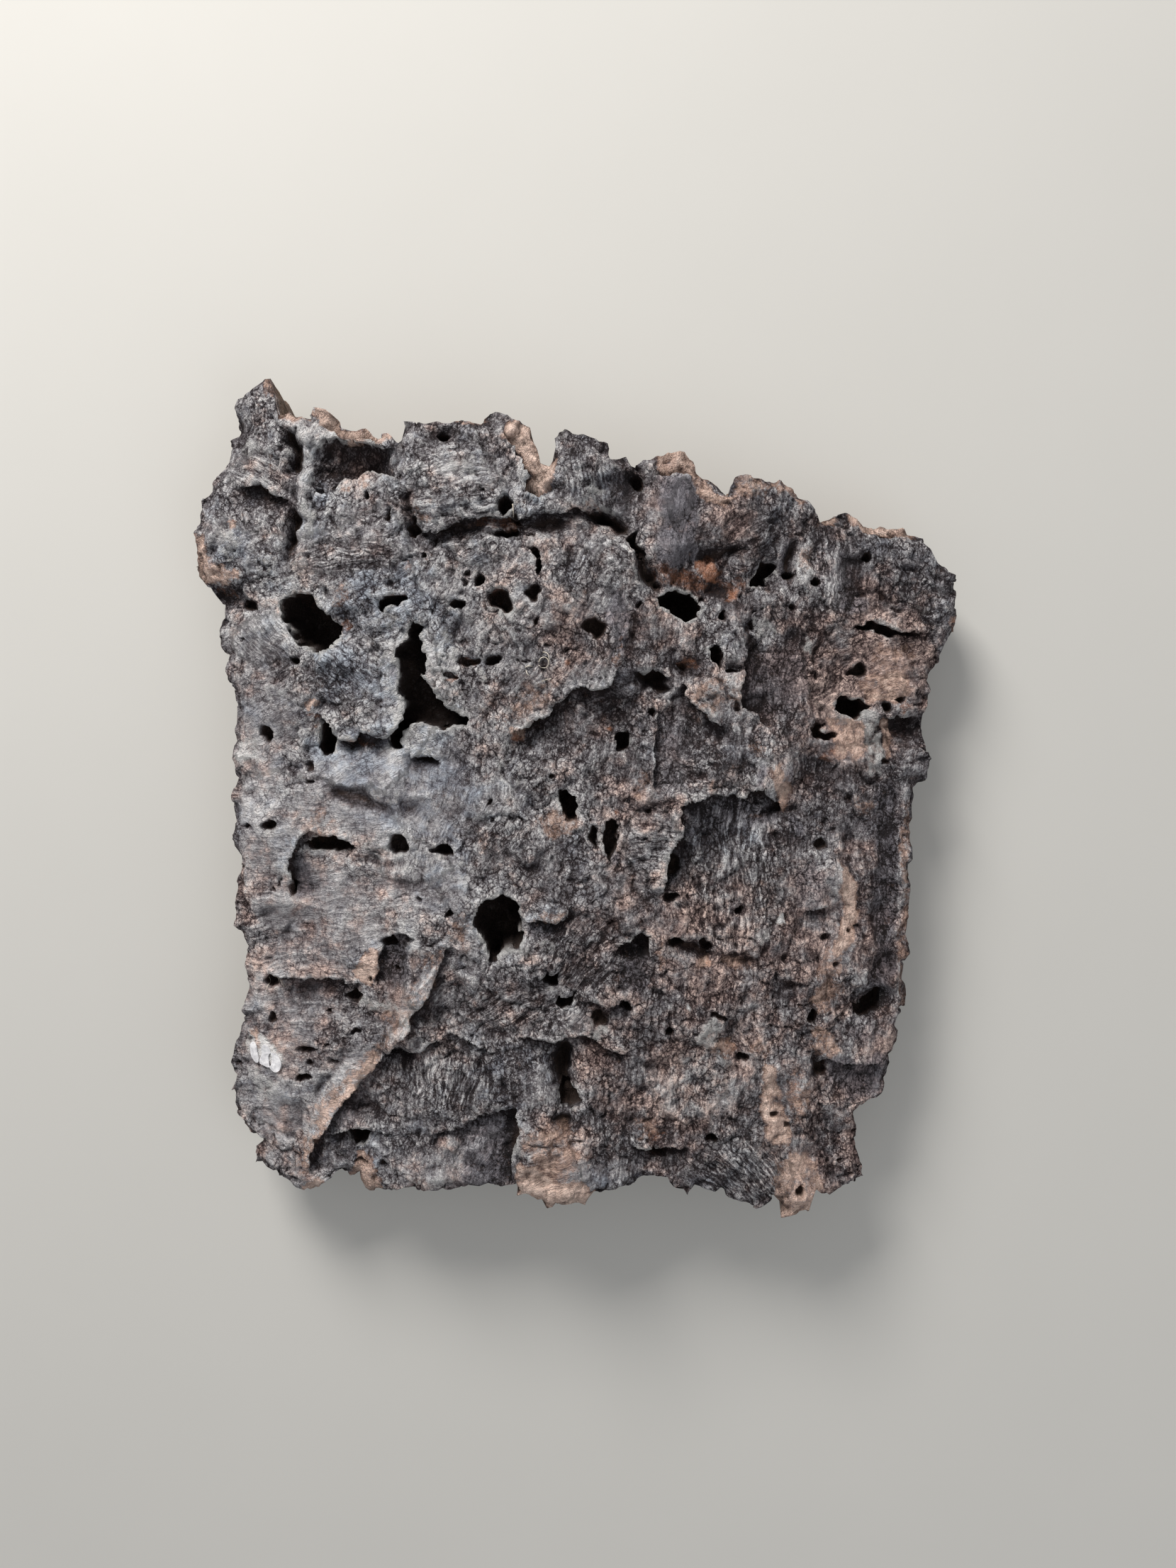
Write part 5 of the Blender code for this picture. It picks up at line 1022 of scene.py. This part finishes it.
def barkReliefGroup():
    # grain, crumbs, cracks and growth lines, from 0 to 1, and one height in millimetres
    given = ("Layer", "LineAcross", "LineAlong", "Lined", "Slate", "Calm", "Wall")
    made = ("Grain", "Crumb", "Blotch", "Cracks", "Lines", "Height")
    tree, gin, gout = startGroup("barkRelief", (("Vector", "Vector"), *((n, "Float") for n in given)),
                                 [(n, "Float") for n in made])
    vector = gin["Vector"]
    blotch = speckle(tree, vector, 380, 6, 0.74, 0.3)
    grain = speckle(tree, vector, 1050, 3, 0.72)
    wobble = speckle(tree, vector, 110, 3)
    sway = calc(tree, "MULTIPLY", wobble, 1.8)
    # small plates of two sizes with cracks between them, drawn out a little across the slab
    flat = scaled(tree, vector, 1.0, 0.8, 0.8)
    largePlates = plates(tree, flat, 190, 0.006, 0.075)
    smallPlates = plates(tree, flat, 430, 0.003, 0.13)
    cracked = stretch(tree, speckle(tree, vector, 75, 2), 0.36, 0.58, 0.25, 1.0)
    smallPlates = blendValue(tree, cracked, 1.0, smallPlates)
    largePlates = blendValue(tree, cracked, 1.0, largePlates)
    crumb = calc(tree, "MULTIPLY_ADD", smallPlates, 0.5, calc(tree, "MULTIPLY", largePlates, 0.5))
    # growth lines follow the layers wherever the relief cuts them, and the run of the bark elsewhere
    layerPlace = joined(tree, calc(tree, "MULTIPLY", gin["Layer"], 1.1), sway, 0.0)
    layerLine = speckle(tree, layerPlace, 1.0, 3, 0.62)
    run = joined(tree, lifted(tree, sway, gin["LineAcross"], 0.0, 0.8),
                 calc(tree, "MULTIPLY", gin["LineAlong"], 0.11), calc(tree, "MULTIPLY", gin["Layer"], 0.3))
    straight = speckle(tree, run, 1.0, 4, 0.66)
    straightShare = calc(tree, "MULTIPLY_ADD", gin["Lined"], 0.6, 0.38, clamp=True)
    lines = stretch(tree, blendValue(tree, straightShare, layerLine, straight), 0.36, 0.64)
    # short fissures, thin where the two noises cross their middles
    fissure = speckle(tree, scaled(tree, run, 0.42, 1.6, 1.0), 1.0, 3, 0.6, 0.5)
    fissure = calc(tree, "ABSOLUTE", calc(tree, "SUBTRACT", fissure, 0.5))
    across = calc(tree, "ABSOLUTE", calc(tree, "SUBTRACT", speckle(tree, vector, 165, 4, 0.62, 1.2), 0.5))
    cracks = calc(tree, "MULTIPLY", stretch(tree, fissure, 0.0, 0.045), stretch(tree, across, 0.0, 0.03))
    cracks = calc(tree, "MAXIMUM", cracks, stretch(tree, speckle(tree, vector, 70, 2), 0.5, 0.6, 0.0, 0.75))
    smoothest = calc(tree, "MAXIMUM", gin["Slate"], gin["Calm"])
    calm = calc(tree, "SUBTRACT", 1.0, calc(tree, "MULTIPLY", smoothest, 0.65))
    linedShare = calc(tree, "MULTIPLY_ADD", gin["Lined"], 0.8, 0.42)
    linedShare = calc(tree, "MULTIPLY_ADD", gin["Wall"], 0.5, linedShare)
    height = calc(tree, "MULTIPLY_ADD", crumb, 0.6, blotch)
    height = calc(tree, "MULTIPLY_ADD", grain, 0.9, height)
    height = calc(tree, "MULTIPLY_ADD", cracks, 0.3, height)
    height = calc(tree, "MULTIPLY", height, calm)
    height = calc(tree, "MULTIPLY_ADD", lines, linedShare, height)
    for name, value in zip(made, (grain, crumb, blotch, cracks, lines, height)):
        plug(tree, gout[name], value)
    return tree


def barkColourGroup():
    names = ("Tone", "Warm", "Fresh", "Rust", "Slate", "Crust", "Cave", "Calm", "Dip", "DipWide",
             "Lined", "Wall", "Under", "Grain", "Crumb", "Blotch", "Cracks", "Lines")
    tree, gin, gout = startGroup("barkColour", (("Vector", "Vector"), *((n, "Float") for n in names)),
                                 (("Color", "Color"), ("Roughness", "Float")))
    vector = gin["Vector"]
    broad = speckle(tree, vector, 60, 4, 0.6)
    mottle = speckle(tree, vector, 150, 4, 0.62)
    # how light the bark is, with the painted lip shade and highlight that tone carries: crests and crumbs
    # are paler, partly painted highlight; cracks and hollows are darker, partly dirt and partly painted
    # shade
    value = calc(tree, "MULTIPLY_ADD", gin["Tone"], 0.44, 0.58)
    busy = calc(tree, "SUBTRACT", 1.0, calc(tree, "MULTIPLY", gin["Calm"], 0.6))
    for source, centre, amount in ((broad, 0.5, 0.36), (mottle, 0.5, 0.18)):
        value = lifted(tree, value, source, centre, amount)
    for source, centre, amount in (("Blotch", 0.5, 0.2), ("Crumb", 0.9, 0.8), ("Grain", 0.5, 1.25),
                                   ("Lines", 0.5, 0.34), ("Cracks", 1.0, 0.2)):
        value = lifted(tree, value, gin[source], centre, calc(tree, "MULTIPLY", busy, amount))
    value = calc(tree, "ADD", value, calc(tree, "MULTIPLY", calc(tree, "SUBTRACT", gin["Lines"], 0.5),
                                          calc(tree, "MULTIPLY", gin["Lined"], 0.4)))
    # painted shade in dips and painted highlight on rises, then painted shade in holes, furrows and under
    # lips
    value = calc(tree, "SUBTRACT", value, stretch(tree, gin["Dip"], -1.0, 1.0, -0.07, 0.12))
    value = calc(tree, "SUBTRACT", value, stretch(tree, gin["DipWide"], -3.0, 3.0, -0.12, 0.22))
    value = calc(tree, "SUBTRACT", value, calc(tree, "MULTIPLY", gin["Cave"], 0.3), clamp=True)
    rampNode = tree.nodes.new("ShaderNodeValToRGB")
    stops = rampNode.color_ramp.elements
    stops[0].position, stops[0].color = 0.0, (0.027, 0.020, 0.021, 1)
    stops[1].position, stops[1].color = 1.0, (0.73, 0.713, 0.707, 1)
    for place, colour in ((0.2, (0.069, 0.058, 0.062, 1)), (0.42, (0.157, 0.142, 0.150, 1)),
                          (0.62, (0.312, 0.296, 0.305, 1)), (0.82, (0.507, 0.489, 0.492, 1))):
        stops.new(place).color = colour
    plug(tree, rampNode.inputs[0], value)
    colour = rampNode.outputs[0]
    tint = lifted(tree, gin["Warm"], broad, 0.5, 2.4)
    tint = lifted(tree, tint, mottle, 0.5, 2.4)
    tint = lifted(tree, tint, gin["Blotch"], 0.5, 0.45)
    colour = blend(tree, stretch(tree, tint, 0.0, 1.0), colour, (1.27, 0.98, 0.86), "MULTIPLY")
    colour = blend(tree, stretch(tree, tint, 0.0, -1.0), colour, (0.88, 0.98, 1.09), "MULTIPLY")
    # smooth slate skin
    bright = calc(tree, "MULTIPLY", value, 1.9)
    slateColour = blend(tree, 1.0, (0.135, 0.126, 0.146), joined(tree, bright, bright, bright), "MULTIPLY")
    slateShare = lifted(tree, gin["Slate"], mottle, 0.5, 1.2)
    colour = blend(tree, stretch(tree, slateShare, 0.15, 0.95, 0.0, 0.68), colour, slateColour)
    # lichen in crumbs
    crumbs = lifted(tree, gin["Crust"], gin["Blotch"], 0.5, 2.0)
    crumbs = lifted(tree, crumbs, gin["Dip"], 0.0, -0.25)
    pale = blend(tree, stretch(tree, gin["Crust"], 0.6, 0.95), (0.56, 0.548, 0.535), (0.90, 0.885, 0.87))
    colour = blend(tree, stretch(tree, crumbs, 0.3, 0.9, 0.0, 0.88), colour, pale)
    # stray pale dust all over
    dust = lifted(tree, gin["Blotch"], gin["Tone"], 0.0, 0.05)
    colour = blend(tree, stretch(tree, dust, 0.63, 0.8, 0.0, 0.35), colour, (0.55, 0.52, 0.485))
    # fresh tan and rusty cork: a thin show is pinkish brown, a full one pale
    speck = calc(tree, "MULTIPLY_ADD", gin["Blotch"], 1.0, 0.33)
    speck = calc(tree, "MULTIPLY_ADD", gin["Lines"], 0.22, speck)
    speck = calc(tree, "MULTIPLY_ADD", gin["Cracks"], 0.22, speck)
    # painted shade in dips on the fresh and rusty cork
    speck = calc(tree, "SUBTRACT", speck, stretch(tree, gin["Dip"], -0.7, 0.9, -0.12, 0.34))
    freshShare = lifted(tree, gin["Fresh"], gin["Blotch"], 0.5, 1.7)
    freshShare = lifted(tree, freshShare, mottle, 0.5, 1.2)
    tan = blend(tree, stretch(tree, freshShare, 0.4, 1.3), (0.39, 0.235, 0.175), (0.84, 0.64, 0.54))
    tan = blend(tree, 1.0, tan, joined(tree, speck, speck, speck), "MULTIPLY")
    colour = blend(tree, stretch(tree, freshShare, 0.2, 0.85, 0.0, 0.86), colour, tan)
    rusty = blend(tree, 1.0, (0.45, 0.195, 0.105), joined(tree, speck, speck, speck), "MULTIPLY")
    rustShare = lifted(tree, gin["Rust"], gin["Blotch"], 0.5, 1.3)
    colour = blend(tree, stretch(tree, rustShare, 0.25, 0.95, 0.0, 0.72), colour, rusty)
    # broken edge in brown and tan layers
    edge = blend(tree, stretch(tree, gin["Lines"], 0.2, 0.8), (0.105, 0.066, 0.045), (0.36, 0.235, 0.16))
    edge = blend(tree, stretch(tree, gin["Blotch"], 0.38, 0.62, 0.0, 0.7), edge, (0.22, 0.155, 0.115))
    colour = blend(tree, stretch(tree, gin["Wall"], 0.25, 0.9, 0.0, 0.85), colour, edge)
    # smoother inner side, its fibres running along the slab
    fibre = speckle(tree, scaled(tree, vector, 700, 45, 200), 1.0, 4, 0.6)
    streak = speckle(tree, scaled(tree, vector, 160, 16, 60), 1.0, 4, 0.6)
    inner = blend(tree, stretch(tree, fibre, 0.3, 0.7), (0.15, 0.082, 0.048), (0.34, 0.205, 0.125))
    inner = blend(tree, stretch(tree, streak, 0.42, 0.66, 0.0, 0.7), inner, (0.46, 0.325, 0.215))
    inner = blend(tree, stretch(tree, gin["Blotch"], 0.6, 0.75, 0.0, 0.6), inner, (0.07, 0.042, 0.028))
    colour = blend(tree, stretch(tree, gin["Under"], 0.85, 0.999), colour, inner)
    # painted shade in deep holes, furrows and under lips: brown, then nearly black
    colour = blend(tree, stretch(tree, gin["Cave"], 0.2, 0.7, 0.0, 0.45), colour, (0.085, 0.050, 0.034))
    colour = blend(tree, stretch(tree, gin["Cave"], 0.6, 1.0, 0.0, 0.55), colour, (0.024, 0.017, 0.014))
    plug(tree, gout["Color"], colour)
    rough = calc(tree, "MULTIPLY_ADD", gin["Grain"], 0.2, 0.80)
    rough = calc(tree, "SUBTRACT", rough, calc(tree, "MULTIPLY", gin["Slate"], 0.18))
    plug(tree, gout["Roughness"], calc(tree, "MINIMUM", rough, 1.0))
    return tree


reliefGroup, colourGroup = barkReliefGroup(), barkColourGroup()


def corkMaterial(name):
    material = bpy.data.materials.new(name)
    material.use_nodes = True
    tree = material.node_tree
    shader = tree.nodes["Principled BSDF"]
    place = tree.nodes.new("ShaderNodeTexCoord").outputs["Object"]
    read = {}
    for field in (*fields, "layer", "wall", "under"):
        step = tree.nodes.new("ShaderNodeAttribute")
        step.attribute_name = field
        read[field[0].upper() + field[1:]] = step.outputs["Fac"]
    relief = tree.nodes.new("ShaderNodeGroup")
    relief.node_tree = reliefGroup
    colour = tree.nodes.new("ShaderNodeGroup")
    colour.node_tree = colourGroup
    for group in (relief, colour):
        plug(tree, group.inputs["Vector"], place)
        for socket in group.inputs:
            if socket.name in read:
                plug(tree, socket, read[socket.name])
    for label in ("Grain", "Crumb", "Blotch", "Cracks", "Lines"):
        plug(tree, colour.inputs[label], relief.outputs[label])
    bump = tree.nodes.new("ShaderNodeBump")
    bump.inputs["Strength"].default_value = slab["bump"]
    bump.inputs["Distance"].default_value = slab["bumpDepth"]
    plug(tree, bump.inputs["Height"], relief.outputs["Height"])
    plug(tree, shader.inputs["Normal"], bump.outputs[0])
    plug(tree, shader.inputs["Base Color"], colour.outputs["Color"])
    plug(tree, shader.inputs["Roughness"], colour.outputs["Roughness"])
    shader.inputs["Specular IOR Level"].default_value = slab["shine"]
    return material


slabPiece.data.materials.clear()
slabPiece.data.materials.append(corkMaterial("weatheredCork"))
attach(slabPiece, "root")
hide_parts(slabNode)
print("slab material ready")

# small things on the bark, read in millimetres: curled fibres, root hairs and one thick flake of lichen
smalls = {
    "fibreThick": 0.17, "hairThick": 0.09, "hug": 1.5,
    "flakeThick": 0.32, "flakeRound": 0.16, "flakeLift": 0.75, "wave": 260, "seed": 0.37,
}
fibres = [
    [(-14.5, 50.6, 0.3), (-13.6, 52.1, 0.7), (-11.8, 52.2, 0.8), (-10.9, 50.7, 0.6), (-11.4, 49.0, 0.5),
      (-13.2, 48.6, 0.3), (-14.3, 49.4, 0.9)],
    [(-12.9, 54.3, 0.2), (-11.3, 53.8, 0.9), (-10.7, 52.2, 1.2), (-10.8, 50.2, 0.3)],
    [(-19.3, 48.7, 0.2), (-18.2, 49.2, 0.5), (-16.9, 49.1, 0.2)],
    [(-19.1, 47.6, 0.2), (-18.8, 46.6, 0.4), (-18.2, 45.8, 0.2)],
    [(-13.3, 43.6, 0.2), (-11.6, 44.3, 0.5), (-10.0, 44.5, 0.2)],
    [(-24.0, 107.5, 0.2), (-23.2, 105.0, 0.8), (-23.4, 102.6, 0.3)],
]
hairs = [
    [(-117.7, -69.2, 0.2), (-115.7, -70.4, 1.2), (-114.4, -71.9, 1.4), (-113.9, -74.2, 0.2)],
    [(-121.4, -70.8, 0.2), (-120.5, -72.1, 0.9), (-120.2, -74.3, 0.8), (-120.5, -76.4, 0.2)],
    [(-117.4, -68.8, 0.2), (-116.2, -72.2, 1.0), (-116.6, -75.0, 0.3)],
]
flakes = [
    [(-126.4, -95.8), (-125.0, -96.4), (-124.6, -99.0), (-123.9, -102.0), (-124.4, -103.4),
      (-125.9, -102.6), (-127.2, -99.5)],
    [(-121.6, -96.2), (-120.0, -96.6), (-118.8, -98.6), (-118.2, -101.6), (-119.2, -104.4),
      (-121.6, -104.2), (-123.2, -103.4), (-122.4, -100.0)],
    [(-119.4, -99.6), (-117.2, -98.8), (-114.9, -100.6), (-114.3, -103.4), (-116.0, -106.0),
      (-118.6, -105.2), (-119.6, -102.6)],
]


def barkHeight(x, y):
    hit, place, _, _ = slabPiece.ray_cast((x, y, 0.2), (0, 0, -1))
    return place.z if hit else 0.03


def outlines(name, lines, closed):
    # one curve object, its knots in metres on the bark
    bpy.ops.object.select_all(action="DESELECT")
    bpy.ops.curve.primitive_bezier_curve_add()
    piece = bpy.context.object
    piece.name = piece.data.name = name
    piece.data.splines.clear()
    for line in lines:
        spline = piece.data.splines.new("BEZIER")
        spline.use_cyclic_u = closed
        spline.bezier_points.add(len(line) - 1)
        for knot, (x, y, *lift) in zip(spline.bezier_points, line):
            x, y = (x + slab["shift"][0]) * mm, (y + slab["shift"][1]) * mm
            knot.co = (x, y, 0 if closed else barkHeight(x, y) + lift[0] * mm)
            knot.handle_left_type = knot.handle_right_type = "AUTO"
    return piece


def dryMaterial(name, dark, light, scale):
    material = bpy.data.materials.new(name)
    material.use_nodes = True
    tree = material.node_tree
    place = tree.nodes.new("ShaderNodeTexCoord").outputs["Object"]
    spots = speckle(tree, place, scale, 5, 0.7)
    shader = tree.nodes["Principled BSDF"]
    plug(tree, shader.inputs["Base Color"], blend(tree, stretch(tree, spots, 0.35, 0.65), dark, light))
    plug(tree, shader.inputs["Roughness"], calc(tree, "MULTIPLY_ADD", spots, 0.2, 0.72))
    bump = tree.nodes.new("ShaderNodeBump")
    bump.inputs["Strength"].default_value = 0.5
    bump.inputs["Distance"].default_value = 0.0004
    plug(tree, bump.inputs["Height"], spots)
    plug(tree, shader.inputs["Normal"], bump.outputs[0])
    return material


def smallPiece(piece, material):
    bpy.ops.object.convert(target="MESH")
    piece.data.materials.clear()
    piece.data.materials.append(material)
    for face in piece.data.polygons:
        face.use_smooth = True
    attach(piece, "root")
    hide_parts(slabNode)


bpy.context.view_layer.update()
threadColour = dryMaterial("dryFibre", (0.46, 0.40, 0.32), (0.72, 0.66, 0.57), 900)
strands = (("curledFibres", fibres, smalls["fibreThick"]), ("rootHairs", hairs, smalls["hairThick"]))
for name, lines, thick in strands:
    piece = outlines(name, lines, False)
    piece.data.bevel_depth = thick * mm
    piece.data.bevel_resolution = 2
    piece.data.resolution_u = 8
    piece.data.use_fill_caps = True
    smallPiece(piece, threadColour)
flakePiece = outlines("lichenFlake", flakes, True)
flakePiece.data.dimensions = "2D"
flakePiece.data.fill_mode = "BOTH"
flakePiece.data.resolution_u = 6
flakePiece.data.extrude = smalls["flakeThick"] * mm
flakePiece.data.bevel_depth = smalls["flakeRound"] * mm
smallPiece(flakePiece, dryMaterial("lichenCrust", (0.52, 0.51, 0.53), (0.80, 0.79, 0.80), 500))
bpy.ops.object.mode_set(mode="EDIT")
bpy.ops.mesh.select_all(action="SELECT")
bpy.ops.mesh.subdivide(number_cuts=2)
bpy.ops.object.mode_set(mode="OBJECT")
# the flake follows the bark under it, with a little wave of its own
steps = (-smalls["hug"] * mm, 0, smalls["hug"] * mm)
for point in flakePiece.data.vertices:
    x, y, z = point.co
    around = [barkHeight(x + stepX, y + stepY) for stepX in steps for stepY in steps]
    wave = noise.noise(Vector((x * smalls["wave"], y * smalls["wave"], smalls["seed"])))
    point.co.z = z + sum(around) / len(around) + smalls["flakeLift"] * mm * (0.7 + 0.9 * wave)
print("small pieces ready", len(flakePiece.data.polygons))

# pale paper under the slab
bpy.ops.object.select_all(action="DESELECT")
bpy.ops.mesh.primitive_plane_add(size=6)
floor = bpy.context.object
floor.name = "paperFloor"
paper = bpy.data.materials.new("palePaper")
paper.use_nodes = True
paperTree = paper.node_tree
paperPlace = paperTree.nodes.new("ShaderNodeTexCoord").outputs["Object"]
paperNoise = speckle(paperTree, paperPlace, 9, 5, 0.6)
paperColour = blend(paperTree, paperNoise, (0.575, 0.562, 0.528), (0.605, 0.590, 0.556))
paperShader = paperTree.nodes["Principled BSDF"]
plug(paperTree, paperShader.inputs["Base Color"], paperColour)
paperShader.inputs["Roughness"].default_value = 0.85
paperShader.inputs["Specular IOR Level"].default_value = 0.2
floor.data.materials.append(paper)
floor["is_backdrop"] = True


def softLight(name, place, size, watts, colour):
    bpy.ops.object.select_all(action="DESELECT")
    bpy.ops.object.light_add(type="AREA", location=place)
    lamp = bpy.context.object
    lamp.name = name
    lamp.data.size = size
    lamp.data.energy = watts
    lamp.data.color = colour
    towards = -lamp.location
    lamp.rotation_euler = towards.to_track_quat("-Z", "Y").to_euler()


softLight("windowLight", (-0.45, 1.05, 0.72), 0.5, 21, (1.0, 0.975, 0.945))
softLight("fillLight", (0.7, -0.7, 1.2), 1.2, 3.5, (0.94, 0.97, 1.0))
world = bpy.data.worlds.new("roomLight")
bpy.context.scene.world = world
world.use_nodes = True
sky = world.node_tree.nodes["Background"]
sky.inputs["Color"].default_value = (0.95, 0.97, 1.0, 1)
sky.inputs["Strength"].default_value = 0.38

# camera straight above, leaning a little, as in the photo
view = {"place": (0.0035, 0.0536, 0.4939), "lean": -5.5, "lens": 28.07, "sensor": 36}
bpy.ops.object.camera_add(location=view["place"], rotation=(math.radians(view["lean"]), 0, 0))
camera = bpy.context.object
camera.data.lens = view["lens"]
camera.data.sensor_width = view["sensor"]
camera.data.clip_start = 0.01
camera.data.clip_end = 20
bpy.context.scene.camera = camera
bpy.context.scene.view_settings.view_transform = "Standard"

low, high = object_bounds()
print("box", [round(v * 1000, 1) for v in (*low, *high)])
